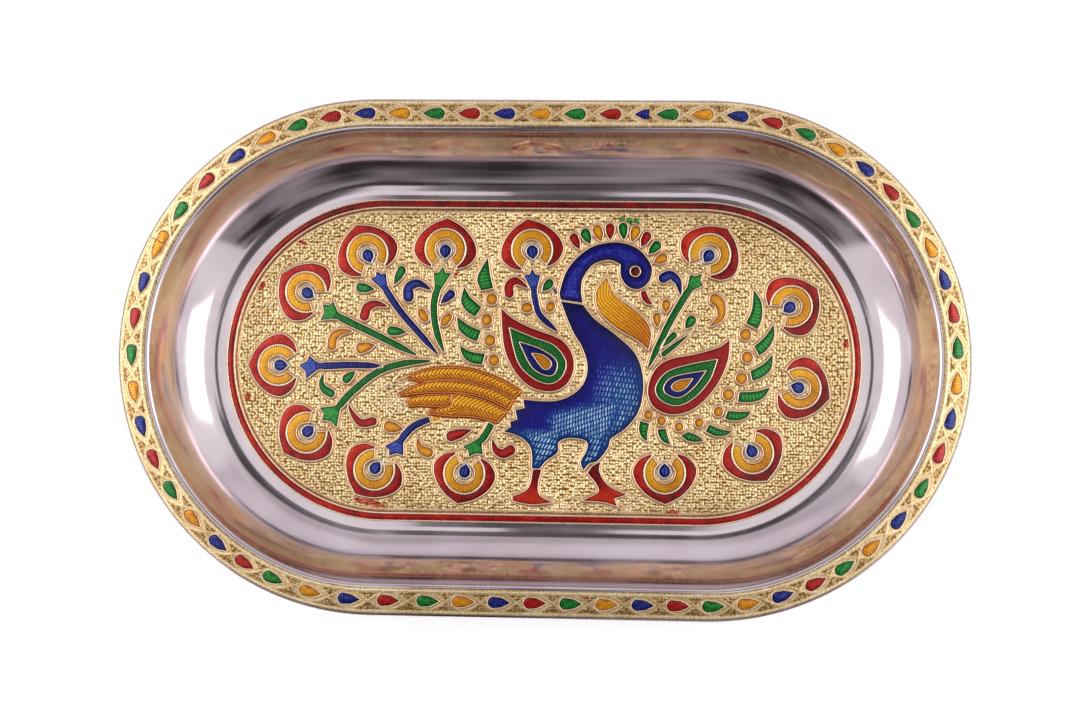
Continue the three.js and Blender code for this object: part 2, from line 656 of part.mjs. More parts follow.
// Commas: the bulb, two places along the spine, the tip of the tail, and half the width at the bulb
const commas = [
  [[-68, 17.1], [-66.9, 20.3], [-63.6, 21.7], [-59.4, 20.8], 1.8],
  [[-80.3, 5.7], [-79.7, 8.9], [-76.8, 10.9], [-72.7, 11.2], 1.7],
  [[-51.3, 24.6], [-51.1, 27.9], [-47.7, 29.6], [-42.8, 27.3], 2],
  [[-13, 26.2], [-13, 29.2], [-10.5, 30.9], [-6, 28.4], 1.7],
  [[-80.4, -12.4], [-83, -10.8], [-84.1, -8.3], [-83.3, -5.2], 1.5],
  [[-64.2, -22.8], [-68.7, -23.5], [-72.2, -19.7], [-73.6, -16.4], 1.5],
  [[-42.8, -34.3], [-44.7, -33.7], [-46.3, -32.1], [-47, -29.2], 1.7],
  [[-11.7, -32.9], [-14.4, -34.3], [-17.2, -33], [-18.6, -29.2], 1.8],
  [[45.1, 32.5], [47.7, 33.5], [50.5, 31.3], [51.7, 26.3], 1.8],
  [[64.5, 24.8], [66.6, 22.7], [66.7, 18.1], [63, 14.7], 1.9],
];

function leafOutline([tip, outerHigh, outerLow, outerCorner, innerCorner, inner]) {
  return closedOutline(
    curveThrough([tip, outerHigh, outerLow, outerCorner], 4),
    [point(...outerCorner)],
    curveThrough([innerCorner, inner, tip], 3),
  );
}

// A drop's round end starts and stops this many degrees off the direction of its tip, and half way to
// the tip the drop is this share of its full width
const dropShoulder = 70;
const dropFullness = 0.78;

function dropShape(tip, middle, radius) {
  const facing = Math.atan2(tip[1] - middle[1], tip[0] - middle[0]) / degrees;
  const halfway = [(tip[0] + middle[0]) / 2, (tip[1] + middle[1]) / 2];
  return [
    point(...tip),
    around(halfway, radius * dropFullness, facing + 90),
    ...arcPoints(...middle, radius, facing + dropShoulder, facing + 360 - dropShoulder, dropSteps),
    around(halfway, radius * dropFullness, facing - 90),
  ];
}

function dropOutline(drop) {
  return closedOutline(dropShape(...drop));
}

function circlePoints(x, y, radius, steps) {
  return arcPoints(x, y, radius, 0, 360, steps).slice(0, -1);
}

function dotOutline([x, y, radius]) {
  return closedOutline(circlePoints(x, y, radius, dotSteps));
}

function seedOutline([x, y, long, short, turned]) {
  const oval = circlePoints(0, 0, 1, dotSteps).map((at) => point(at.x * long, at.y * short));
  return closedOutline(oval.map((at) => at.rotateAround(point(0, 0), turned * degrees).add(point(x, y))));
}

// A comma has a round bulb and narrows along its spine to a pointed tail
function commaOutline([bulb, crown, bend, tip, halfWidth]) {
  const crownShare = 0.95;
  const bendShare = 0.62;
  const halfWidths = [halfWidth, halfWidth * crownShare, halfWidth * bendShare];
  const { left, right } = stripSides([bulb, crown, bend, tip], halfWidths);
  const back = Math.atan2(bulb[1] - crown[1], bulb[0] - crown[0]) / degrees;
  const roundEnd = arcPoints(...bulb, halfWidth, back + 45, back - 45, 2);
  return closedOutline(left, [point(...tip)], right.reverse(), roundEnd);
}

// The gilt panel: a thin plate with raised motifs, and a cell cut for each enamel fill
function panelFoilGeometry() {
  const bosses = [];
  const cells = [];
  const cutTop = reliefTop + cellDepth;
  const boss = (outline) => bosses.push(solidOf(raised(outline, [], panelBottom, reliefTop)));
  const cell = (outline, holes = []) => cells.push(solidOf(raised(outline, holes, cellFloor, cutTop)));
  const walled = (outline) => {
    boss(grown(outline, wallWidth));
    cell(outline);
  };

  const panelEdge = ovalOutline(panelRadius);
  const fieldEdge = ovalOutline(fieldRadius);
  bosses.push(solidOf(raised(panelEdge, [], panelBottom, panelTop)));
  bosses.push(solidOf(raised(panelEdge, [fieldEdge], panelBottom, reliefTop)));
  cell(ovalOutline(borderOuterRadius), [ovalOutline(borderInnerRadius)]);

  for (const [, x, y, facing] of eyeFeathers) {
    const centre = pictureToPanel(x, y);
    const turned = (at) => at.clone().rotateAround(point(0, 0), facing * degrees);
    const place = (outline) => outline.map((at) => turned(at).add(centre));
    boss(place(grown(eyePlateauOutline(), wallWidth)));
    cell(place(eyeRedOutline()));
    cell(place(eyeYellowOutline()));
    cell(place(eyeSunkRing()), [place(eyeDropOutline())]);
  }
  for (const [, , head, path, halfWidth, endHalfWidth] of stems) {
    walled(stemOutline(head, path, halfWidth, endHalfWidth));
  }
  for (const outline of [body, neckAndHead, chestPlume, leftFoot, rightFoot, beak]) walled(outline);
  for (const outline of tailPlumes) walled(outline);
  for (const wing of [leftWing, rightWing]) {
    boss(grown(wing.red, wallWidth));
    cell(wing.red, [grown(wing.green, wallWidth)]);
    cell(wing.green, [grown(wing.blue, wallWidth)]);
    cell(wing.blue, [grown(wing.orange, wallWidth)]);
    cell(wing.orange);
  }
  flameLeaves.forEach((leaf) => boss(leafOutline(leaf)));
  dots.forEach((dot) => boss(dotOutline(dot)));
  drops.forEach((drop) => boss(dropOutline(drop)));
  seeds.forEach((seed) => boss(seedOutline(seed)));
  commas.forEach((comma) => boss(commaOutline(comma)));

  const eyeRing = solidOf(raised(headEyeRing(headEyeRingRadius), [], panelBottom, reliefTop));
  const eyeSocket = solidOf(raised(headEyeRing(headEyeRadius), [], cellFloor, cutTop));
  const plate = joined(bosses).subtract(joined(cells));
  return geometryOfSolid(plate.add(eyeRing).subtract(eyeSocket));
}

// The bare ring round an eye feather's blue drop is sunk to the level of its cells
function eyeSunkRing() {
  return featherOutline(circlePoints(0, 0, eyeYellowInnerRadius - wallWidth, dotSteps));
}

function headEyeRing(radius) {
  return closedOutline(circlePoints(...headEyePlace, radius, headEyeSteps));
}

// One gilt band on the rim, with a bead along each edge and a row of drops between them
function rimBandGeometry(rimPlaces, stations, firstDrop, dropPitch) {
  const bed = bandPlaces(rimPlaces);
  const under = bed.map((place) => lifted(place, glueGap));
  const bare = glueGap + rimFoilThickness;
  const over = bed.map((place, i) => {
    const onBead = i < 2 || i > bed.length - 3;
    return lifted(place, onBead ? bare + rimBeadHeight : bare);
  });
  const band = solidOf(stripGeometry([...under, ...over.reverse()], stations));
  return geometryOfSolid(joined([band, ...rimDrops(bed, stations, firstDrop, dropPitch)]));
}

// Places across the rim that the band's section needs: its edges, its beads and the rim's bends
function bandPlaces(rimPlaces) {
  const start = rimPlaces[0].r + rimFoilMargin;
  const end = rimPlaces[rimPlaces.length - 1].r - rimFoilMargin;
  const innerBead = start + rimBeadWidth;
  const outerBead = end - rimBeadWidth;
  const bends = rimPlaces.map((place) => place.r).filter((r) => r > innerBead && r < outerBead);
  const radii = [start, innerBead, ...bends, outerBead, end];
  return radii.map((r) => placeOnRim(rimPlaces, r));
}

function placeOnRim(rimPlaces, r) {
  let i = 0;
  while (i < rimPlaces.length - 2 && rimPlaces[i + 1].r < r) i += 1;
  const [a, b] = [rimPlaces[i], rimPlaces[i + 1]];
  const part = (r - a.r) / (b.r - a.r);
  const chord = Math.atan2(b.z - a.z, b.r - a.r) / degrees;
  return { r, z: a.z + (b.z - a.z) * part, heading: chord };
}

// Drops stand along the band's middle line. One that reaches past the end of the band is cut there.
function rimDrops(bed, stations, firstDrop, dropPitch) {
  const middle = placeOnRim(bed, (bed[0].r + bed[bed.length - 1].r) / 2);
  const line = stations.map((station) => point(...stationPoint(station, middle.r, 0)));
  const run = new THREE.CurvePath();
  for (let i = 0; i + 1 < line.length; i += 1) run.add(new THREE.LineCurve(line[i], line[i + 1]));
  const length = run.getLength();
  const top = middle.z + glueGap + rimFoilThickness + rimDropHeight;
  const bottom = middle.z + glueGap + rimFoilThickness / 2;
  const solids = [];
  for (let place = firstDrop; place < length; place += dropPitch) {
    const at = run.getPointAt(place / length);
    const along = run.getTangentAt(place / length);
    const outline = rimDropOutline().map((corner) => corner.rotateAround(point(0, 0), along.angle()).add(at));
    const drop = solidOf(raised(outline, [], bottom, top));
    const begun = trimmedAt(drop, stations[0], 1);
    solids.push(trimmedAt(begun, stations[stations.length - 1], -1));
  }
  return solids;
}

// What of a solid near a station lies ahead of it, or behind it where the side is -1
function trimmedAt(solid, station, side) {
  const ahead = [-station.y * side, station.x * side, 0];
  const { min, max } = solid.boundingBox();
  const middle = [(min[0] + max[0]) / 2 - station.centre, (min[1] + max[1]) / 2];
  const outward = middle[0] * station.x + middle[1] * station.y;
  const apart = Math.abs(middle[0] * ahead[0] + middle[1] * ahead[1]);
  const nearStation = outward > 0 && apart < rimDropLength;
  return nearStation ? solid.trimByPlane(ahead, ahead[0] * station.centre) : solid;
}

// A rim drop, drawn along +X with its tip forward
function rimDropOutline() {
  const half = rimDropLength / 2;
  const radius = rimDropWidth / 2;
  return dropShape([half, 0], [radius - half, 0], radius);
}

// The finished tray
const tray = new THREE.Group();

function addPiece(parent, name, geometry, material) {
  const piece = new THREE.Mesh(geometry, material);
  piece.name = name;
  parent.add(piece);
  return piece;
}

// An enamel fill lies in its cell, clear of the cell's walls
function enamelFill(outline, island = null) {
  const holes = island ? [grown(island, wallWidth + enamelClearance)] : [];
  return raised(grown(outline, -enamelClearance), holes, enamelBottom, enamelBottom + enamelThickness);
}

const { places, rimPlaces } = panSection();
addPiece(tray, 'steel_pan', panGeometry(places), steel);
addPiece(tray, 'panel_foil', panelFoilGeometry(), gilt);
const longBand = rimBandGeometry(rimPlaces, longBandStations, longBandFirstDrop, longBandDropPitch);
const shortBand = rimBandGeometry(rimPlaces, shortBandStations, shortBandFirstDrop, shortBandDropPitch);
addPiece(tray, 'rim_foil_long', longBand, gilt);
addPiece(tray, 'rim_foil_short', shortBand, gilt);

const borderRing = raised(
  ovalOutline(borderOuterRadius - enamelClearance),
  [ovalOutline(borderInnerRadius + enamelClearance)],
  enamelBottom,
  enamelBottom + enamelThickness,
);
addPiece(tray, 'border_enamel', borderRing, redEnamel);

const redCrescent = enamelFill(eyeRedOutline());
const yellowCrescent = enamelFill(eyeYellowOutline());
for (const [name, x, y, facing] of eyeFeathers) {
  const feather = new THREE.Group();
  feather.position.set(...pictureToPanel(x, y), 0);
  feather.rotation.z = facing * degrees;
  addPiece(feather, `eye_${name}_red`, redCrescent, redEnamel);
  addPiece(feather, `eye_${name}_yellow`, yellowCrescent, yellowEnamel);
  tray.add(feather);
}
for (const [name, material, head, path, halfWidth, endHalfWidth] of stems) {
  const outline = stemOutline(head, path, halfWidth, endHalfWidth);
  addPiece(tray, `stem_${name}`, enamelFill(outline), material);
}

const headFill = raised(
  grown(neckAndHead, -enamelClearance),
  [headEyeRing(headEyeRingRadius + enamelClearance)],
  enamelBottom,
  enamelBottom + enamelThickness,
);
addPiece(tray, 'peacock_neck_and_head', headFill, blueEnamel);
addPiece(tray, 'peacock_eye', enamelFill(headEyeRing(headEyeRadius)), redEnamel);
addPiece(tray, 'peacock_beak', enamelFill(beak), redEnamel);
addPiece(tray, 'peacock_body', enamelFill(body), blueEnamel);
addPiece(tray, 'peacock_left_foot', enamelFill(leftFoot), redEnamel);
addPiece(tray, 'peacock_right_foot', enamelFill(rightFoot), redEnamel);
addPiece(tray, 'chest_plume', enamelFill(chestPlume), yellowEnamel);
for (const [i, outline] of tailPlumes.entries()) {
  addPiece(tray, `tail_plume_${i + 1}`, enamelFill(outline), yellowEnamel);
}
for (const [side, wing] of [['left', leftWing], ['right', rightWing]]) {
  addPiece(tray, `${side}_wing_red`, enamelFill(wing.red, wing.green), redEnamel);
  addPiece(tray, `${side}_wing_green`, enamelFill(wing.green, wing.blue), greenEnamel);
  addPiece(tray, `${side}_wing_blue`, enamelFill(wing.blue, wing.orange), blueEnamel);
  addPiece(tray, `${side}_wing_orange`, enamelFill(wing.orange), yellowEnamel);
}

export default tray;
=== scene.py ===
"""Enamelled oval tray: a polished steel pan with embossed gilt foil and coloured enamel.

Lengths are millimetres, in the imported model's frame, and turn into metres as each mesh is made.
"""
import math

import bpy
import numpy as np
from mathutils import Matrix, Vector
from mathutils.geometry import delaunay_2d_cdt


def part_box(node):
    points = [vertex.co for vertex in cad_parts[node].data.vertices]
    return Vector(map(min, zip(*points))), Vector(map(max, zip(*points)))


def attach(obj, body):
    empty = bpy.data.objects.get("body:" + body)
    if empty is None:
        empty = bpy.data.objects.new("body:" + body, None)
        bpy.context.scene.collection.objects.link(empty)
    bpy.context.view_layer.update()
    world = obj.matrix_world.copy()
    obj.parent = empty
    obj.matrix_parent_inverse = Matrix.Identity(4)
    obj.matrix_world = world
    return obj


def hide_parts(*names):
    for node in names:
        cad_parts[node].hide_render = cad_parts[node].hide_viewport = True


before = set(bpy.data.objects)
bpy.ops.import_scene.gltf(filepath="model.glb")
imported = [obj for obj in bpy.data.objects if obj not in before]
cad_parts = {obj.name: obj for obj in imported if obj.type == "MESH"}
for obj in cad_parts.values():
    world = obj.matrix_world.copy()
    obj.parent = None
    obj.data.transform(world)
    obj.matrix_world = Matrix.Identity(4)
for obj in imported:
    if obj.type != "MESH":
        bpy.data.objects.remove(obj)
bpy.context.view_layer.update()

MM = 0.001
UP = 90

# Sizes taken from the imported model
pan_low, pan_high = (np.array(corner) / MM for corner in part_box("steel_pan"))
panel_low, panel_high = (np.array(corner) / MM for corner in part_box("panel_foil"))
OUTER_RADIUS = (pan_high[1] - pan_low[1]) / 2
STRAIGHT_HALF = min(pan_high[0], -pan_low[0]) - OUTER_RADIUS
PANEL_RADIUS = (panel_high[1] - panel_low[1]) / 2
PANEL_BOTTOM = panel_low[2]

# Steel pan
SHEET = 0.7
TRAY_HEIGHT = 21.5
RIM_WIDTH = 12
RIM_START_RISE = 4
RIM_END_FALL = 15
COVE_WIDTH = 17.4
WALL_ANGLE = 79
COVE_FULLNESS = 0.56
SHOULDER_RADIUS = 1.4
ROLL_RADIUS = 1.5
ROLL_TURN = 225
WALL_TOP_RADIUS = OUTER_RADIUS - RIM_WIDTH
FLOOR_RADIUS = WALL_TOP_RADIUS - COVE_WIDTH

# Gilt panel: heights above the table, and the border's radii
GROUND_TOP = 1.15
WALL_TOP = 2.14
ENAMEL_EDGE = 1.86
ENAMEL_DOME = 0.1
WALL_WIDTH = 0.75
BORDER_WIDTH = 2
BORDER_OUTER = PANEL_RADIUS - WALL_WIDTH
BORDER_INNER = BORDER_OUTER - BORDER_WIDTH
FIELD_RADIUS = BORDER_INNER - WALL_WIDTH
GRAIN_PITCH = 1.08
GRAIN_RADIUS = 0.54

# A cell wall and a bare thread in section: the distance outwards from the cell's edge or from the
# thread's middle, the height and the brightness, which is painted shade low on the flanks and at the
# foot, and a painted highlight on the top
WALL_SECTION = np.array([
    (-0.06, 1.5, 0.1), (0, 1.84, 0.4), (0.07, 2.0, 0.8), (0.17, 2.13, 1), (0.3, WALL_TOP, 1),
    (0.4, 2.04, 0.85), (0.5, 1.8, 0.5), (0.64, 1.5, 0.36), (0.86, 1.33, 0.55), (1.2, 1.24, 0.66),
    (1.6, 1.0, 0.55),
])
THREAD_SECTION = np.array([
    (-0.42, 1.1, 0.1), (-0.22, 1.52, 0.5), (-0.08, 1.68, 1),
    (0.08, 1.68, 1), (0.22, 1.52, 0.5), (0.42, 1.1, 0.1),
])

# The gap between an enamel and the cell nested inside it
BAND_GAP = 0.44

# Gilt bands on the rim
RIM_MIDDLE = OUTER_RADIUS - RIM_WIDTH / 2
BAND_THICKNESS = 0.35
TOP_SEAM = 37
LEFT_SEAM_ANGLE = 152.5

# Fineness: the step along outlines, the pitch of the points inside plain and embossed fills, and the
# fewest steps in an arc and in a radius's length of a circle
CURVE_STEP = 0.36
FILL_PITCH = 0.34
FINE_PITCH = 0.24
LEAST_ARC_STEPS = 6
STEPS_PER_RADIUS = 7


# Outlines: closed runs of curves and lines, in millimetres, counter-clockwise

FAR = 1e9


def curve(points, step=CURVE_STEP):
    """A smooth curve through points, in short even steps, without its last point."""
    p = np.asarray(points, float)
    ends = np.vstack([p[:1], p, p[-1:]])
    runs = []
    for p0, p1, p2, p3 in zip(ends, ends[1:], ends[2:], ends[3:]):
        count = max(2, math.ceil(np.linalg.norm(p2 - p1) / step))
        t = np.arange(count)[:, None] / count
        v0 = (p2 - p0) / 2
        v1 = (p3 - p1) / 2
        cubic = 2 * (p1 - p2) + v0 + v1
        square = 3 * (p2 - p1) - 2 * v0 - v1
        runs.append(((cubic * t + square) * t + v0) * t + p1)
    return np.vstack(runs)


def line(points):
    """Straight runs between corners, in short even steps, without the last corner."""
    p = np.asarray(points, float)
    runs = []
    for a, b in zip(p, p[1:]):
        count = max(1, math.ceil(np.linalg.norm(b - a) / CURVE_STEP))
        runs.append(a + (b - a) * np.arange(count)[:, None] / count)
    return np.vstack(runs)


def arc(x, y, radius, start, end, step=CURVE_STEP):
    """An arc in degrees, with both its ends."""
    count = max(LEAST_ARC_STEPS, math.ceil(abs(math.radians(end - start)) * radius / step))
    angle = np.radians(np.linspace(start, end, count + 1))
    return np.column_stack([x + radius * np.cos(angle), y + radius * np.sin(angle)])


def circle(x, y, radius):
    return arc(x, y, radius, 0, 360, min(CURVE_STEP, radius / STEPS_PER_RADIUS))[:-1]


def area(outline):
    """The area inside an outline, below 0 where it runs clockwise."""
    x, y = outline.T
    return (x * np.roll(y, -1) - np.roll(x, -1) * y).sum() / 2


def closed(*runs):
    """One counter-clockwise outline from runs, without doubled points."""
    least_apart = 0.02
    outline = np.vstack(runs)
    apart = np.linalg.norm(outline - np.roll(outline, 1, 0), axis=1) > least_apart
    outline = outline[apart]
    return outline if area(outline) > 0 else outline[::-1]


def miters(outline, wrap=True):
    """Outward directions at an outline's points, longer at its corners."""
    nothing = 1e-6
    sharpest = 0.7
    before = outline - np.roll(outline, 1, 0)
    after = np.roll(outline, -1, 0) - outline
    if not wrap:
        before[0] = after[0]
        after[-1] = before[-1]
    before /= np.linalg.norm(before, axis=1)[:, None]
    after /= np.linalg.norm(after, axis=1)[:, None]
    across = np.column_stack([before[:, 1] + after[:, 1], -before[:, 0] - after[:, 0]])
    across /= np.maximum(np.linalg.norm(across, axis=1)[:, None], nothing)
    spread = across[:, 0] * before[:, 1] - across[:, 1] * before[:, 0]
    return across / np.maximum(spread, sharpest)[:, None]


def grown(outline, distance):
    """An outline moved outwards all round."""
    return outline + miters(outline) * distance


def turned(points, degrees):
    """Points turned counter-clockwise about the origin."""
    angle = math.radians(degrees)
    c, s = math.cos(angle), math.sin(angle)
    return points @ np.array([[c, s], [-s, c]])


def inside(at, outline):
    """Which places lie inside an outline."""
    nothing = 1e-9
    x, y = at[:, 0, None], at[:, 1, None]
    ax, ay = outline.T
    bx, by = np.roll(outline, -1, 0).T
    rise = np.where(by == ay, nothing, by - ay)
    crossed = ((ay > y) != (by > y)) & (x < (bx - ax) * (y - ay) / rise + ax)
    return crossed.sum(1) % 2 == 1


def distance_to(at, outline):
    """How far each place is from an outline."""
    best = np.full(len(at), FAR)
    for a, b in zip(outline, np.roll(outline, -1, 0)):
        run = b - a
        t = np.clip(((at - a) @ run) / (run @ run), 0, 1)
        gap = at - a - t[:, None] * run
        best = np.minimum(best, (gap ** 2).sum(1))
    return np.sqrt(best)


def along_path(at, path):
    """The length along an open path at each place's nearest point, and the signed distance from it."""
    best = np.full(len(at), FAR)
    length = np.zeros(len(at))
    side = np.zeros(len(at))
    done = 0.0
    for a, b in zip(path, path[1:]):
        run = b - a
        size = math.hypot(*run)
        t = np.clip(((at - a) @ run) / size ** 2, 0, 1)
        gap = at - a - t[:, None] * run
        apart = np.sqrt((gap ** 2).sum(1))
        nearer = apart < best
        best[nearer] = apart[nearer]
        length[nearer] = done + t[nearer] * size
        side[nearer] = ((at - a) @ np.array([-run[1], run[0]]) / size)[nearer]
        done += size
    return length, side


# Patterns: fixed random values and stripes

def hashed(i, j, seed):
    """A fixed random value between 0 and 1 for each cell of a grid."""
    value = np.sin(i * 127.1 + j * 311.7 + seed * 74.7) * 43758.5453
    return value - np.floor(value)


def grain(at, pitch, seed):
    """The distance to the nearest point of a loose grid, as a share of its pitch, and its random value."""
    margin = 0.22
    spread = 0.56
    cell = np.floor(at / pitch)
    best = np.full(len(at), FAR)
    value = np.zeros(len(at))
    for down in (-1, 0, 1):
        for across in (-1, 0, 1):
            i = cell[:, 0] + across
            j = cell[:, 1] + down
            x = at[:, 0] / pitch - i - margin - spread * hashed(i, j, seed)
            y = at[:, 1] / pitch - j - margin - spread * hashed(i, j, seed + 1)
            apart = np.hypot(x, y)
            nearer = apart < best
            best[nearer] = apart[nearer]
            value[nearer] = hashed(i, j, seed + 2)[nearer]
    return best, value


def clouds(at, pitch, seed):
    """Smooth random values between 0 and 1."""
    cell = np.floor(at / pitch)
    part = at / pitch - cell
    part = part * part * (3 - 2 * part)
    i, j = cell.T
    x, y = part.T
    low = hashed(i, j, seed) * (1 - x) + hashed(i + 1, j, seed) * x
    high = hashed(i, j + 1, seed) * (1 - x) + hashed(i + 1, j + 1, seed) * x
    return low * (1 - y) + high * y


def stripe(phase):
    """1 in the middle of each whole turn of the phase, 0 between."""
    return 0.5 + 0.5 * np.cos(2 * np.pi * phase)


def smooth(value, low, high):
    """0 up to the low value and 1 from the high one, with an even rise between."""
    t = np.clip((value - low) / (high - low), 0, 1)
    return t * t * (3 - 2 * t)


# Pieces

def grid_faces(rows, columns, wrap=False):
    """The quads of a grid of vertices, whose last row may join its first."""
    index = np.arange(rows * columns).reshape(rows, columns)
    if wrap:
        index = np.vstack([index, index[:1]])
    corners = [index[:-1, :-1], index[1:, :-1], index[1:, 1:], index[:-1, 1:]]
    return np.stack(corners, -1).reshape(-1, 4)


def facing_up(vertices, faces):
    """Faces turned so that most of them look upwards."""
    a, b, c = (vertices[faces[:, k]] for k in range(3))
    rise = np.cross(b - a, c - a)[:, 2].sum()
    return faces if rise > 0 else faces[:, ::-1]


def added(name, data):
    """A new object in the scene."""
    thing = bpy.data.objects.new(name, data)
    bpy.context.scene.collection.objects.link(thing)
    return thing


def add_piece(name, vertices, faces, material, slot, nodes=(), values=None):
    """A mesh that rides on the tray and stands for CAD nodes, with a number at each vertex."""
    mesh = bpy.data.meshes.new(name)
    mesh.from_pydata((np.asarray(vertices) * MM).tolist(), [], list(faces))
    mesh.polygons.foreach_set("use_smooth", np.ones(len(mesh.polygons), bool))
    for key, value in (values or {}).items():
        layer = mesh.attributes.new(key, "FLOAT", "POINT")
        layer.data.foreach_set("value", np.asarray(value, np.float32))
    mesh.materials.append(material)
    mesh.update()
    piece = added(name, mesh)
    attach(piece, "root")
    if nodes:
        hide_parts(*nodes)


class Gathered:
    """Meshes put together as one."""

    def __init__(self):
        self.vertices = []
        self.faces = []
        self.values = {}
        self.count = 0

    def add(self, vertices, faces, values=None):
        self.faces.append(np.asarray(faces) + self.count)
        self.vertices.append(vertices)
        self.count += len(vertices)
        for key, value in (values or {}).items():
            self.values.setdefault(key, []).append(value)

    def piece(self, name, material, slot, nodes=()):
        values = {key: np.concatenate(value) for key, value in self.values.items()}
        faces = np.vstack(self.faces)
        add_piece(name, np.vstack(self.vertices), faces, material, slot, nodes, values)


def ridge(path, section, wrap=True):
    """A section swept along a path on the panel, with the section's brightness, its painted shade and
    highlight, at each vertex.
    """
    across = miters(path, wrap)
    flat = path[:, None, :] + across[:, None, :] * section[None, :, :1]
    rest = np.broadcast_to(section[None, :, 1:], flat.shape[:2] + (2,))
    vertices = np.concatenate([flat, rest], 2).reshape(-1, 4)
    faces = facing_up(vertices[:, :3], grid_faces(len(path), len(section), wrap))
    return vertices[:, :3], faces, {"tone": vertices[:, 3]}


def filled(outline, holes, pitch):
    """Points and triangles that fill an outline closely and evenly."""
    row_share = 0.87
    edge_share = 0.45
    same_place = 1e-5
    low, high = outline.min(0), outline.max(0)
    rows = np.arange(low[1], high[1], pitch * row_share)
    columns = np.arange(low[0], high[0] + pitch, pitch)
    x, y = np.meshgrid(columns, rows)
    x[1::2] += pitch / 2
    at = np.column_stack([x.ravel(), y.ravel()])
    at = at[inside(at, outline)]
    for hole in holes:
        at = at[~inside(at, hole)]
    for edge in (outline, *holes):
        at = at[distance_to(at, edge) > pitch * edge_share]
    points = [outline, *holes, at]
    edges = []
    start = 0
    for loop in (outline, *holes):
        index = np.arange(len(loop)) + start
        edges += np.column_stack([index, np.roll(index, -1)]).tolist()
        start += len(loop)
    places = [Vector(place) for place in np.vstack(points).tolist()]
    found, _, triangles, *_ = delaunay_2d_cdt(places, edges, [], 0, same_place)
    found = np.array([tuple(place) for place in found])
    triangles = np.array(triangles)
    middles = found[triangles].mean(1)
    kept = inside(middles, outline)
    for hole in holes:
        kept &= ~inside(middles, hole)
    return found, triangles[kept]


# Materials

def linear(colour):
    """A colour as seen on screen, out of 255, as the shader takes it."""
    full = 255
    gamma = 2.2
    return tuple((channel / full) ** gamma for channel in colour) + (1.0,)


COAT_ROUGHNESS = 0.06


class Nodes:
    """A node tree, with short calls for its nodes and links."""

    def __init__(self, tree):
        self.tree = tree

    def node(self, kind, **settings):
        node = self.tree.nodes.new(kind)
        for key, value in settings.items():
            setattr(node, key, value)
        return node

    def link(self, source, target):
        self.tree.links.new(source, target)

    def math(self, operation, first, second, clamped=False):
        node = self.node("ShaderNodeMath", operation=operation, use_clamp=clamped)
        self.link(first, node.inputs[0])
        self.link(second, node.inputs[1])
        return node.outputs[0]


class Shader(Nodes):
    """A material's node tree, with short calls for the nodes that the materials here use."""

    def __init__(self, name, roughness, metallic, coat=0.0):
        self.material = bpy.data.materials.new(name)
        self.material.use_nodes = True
        super().__init__(self.material.node_tree)
        self.surface = self.tree.nodes["Principled BSDF"]
        self.place = self.node("ShaderNodeTexCoord").outputs["Object"]
        self.set(Roughness=roughness, Metallic=metallic, Coat_Weight=coat, Coat_Roughness=COAT_ROUGHNESS)

    def set(self, **values):
        """Give the surface's inputs values, with underscores for the blanks in their names."""
        for name, value in values.items():
            self.surface.inputs[name.replace("_", " ")].default_value = value

    def feed(self, **sources):
        """Link sources to the surface's inputs, with underscores for the blanks in their names."""
        for name, source in sources.items():
            self.link(source, self.surface.inputs[name.replace("_", " ")])

    def number(self, name):
        """The number that a mesh holds at each vertex under this name."""
        node = self.node("ShaderNodeAttribute", attribute_name=name)
        return node.outputs["Fac"]

    def noise(self, size_mm, detail=2.0, stretch=None):
        """Cloudy values between 0 and 1, whose patches have about this size."""
        node = self.node("ShaderNodeTexNoise")
        node.inputs["Scale"].default_value = 1 / (size_mm * MM)
        node.inputs["Detail"].default_value = detail
        self.link(self.stretched(stretch), node.inputs["Vector"])
        return node.outputs["Fac"]

    def stretched(self, stretch):
        if stretch is None:
            return self.place
        node = self.node("ShaderNodeMapping")
        node.inputs["Scale"].default_value = stretch
        self.link(self.place, node.inputs["Vector"])
        return node.outputs["Vector"]

    def range(self, value, from_low, from_high, to_low, to_high):
        node = self.node("ShaderNodeMapRange")
        self.link(value, node.inputs["Value"])
        limits = (from_low, from_high, to_low, to_high)
        for socket, limit in zip(list(node.inputs)[1:5], limits):
            socket.default_value = limit
        return node.outputs["Result"]

    def ramp(self, value, *stops):
        node = self.node("ShaderNodeValToRGB")
        elements = node.color_ramp.elements
        while len(elements) < len(stops):
            elements.new(0.5)
        for element, (position, colour) in zip(elements, stops):
            element.position = position
            element.color = colour
        self.link(value, node.inputs["Fac"])
        return node.outputs["Color"]

    def mix(self, amount, first, second):
        node = self.node("ShaderNodeMix", data_type="RGBA")
        sockets = (node.inputs[0], node.inputs[6], node.inputs[7])
        for socket, source in zip(sockets, (amount, first, second)):
            self.link(source, socket)
        return node.outputs[2]

    def bump(self, height, depth_mm, strength):
        node = self.node("ShaderNodeBump")
        node.inputs["Strength"].default_value = strength
        node.inputs["Distance"].default_value = depth_mm * MM
        self.link(height, node.inputs["Height"])
        return node.outputs["Normal"]


def steel_material():
    """Polished steel with faint clouds, and scratches along its length."""
    shader = Shader("polished_steel", 0.12, 1.0)
    cloud = shader.noise(28, 3.0)
    scratches = shader.noise(0.35, 2.0, (0.12, 1.0, 1.0))
    shader.feed(
        Base_Color=shader.ramp(cloud, (0.3, linear((200, 185, 192))), (0.7, linear((220, 209, 214)))),
        Roughness=shader.range(cloud, 0.3, 0.7, 0.08, 0.17),
        Normal=shader.bump(scratches, 0.004, 0.5))
    return shader.material


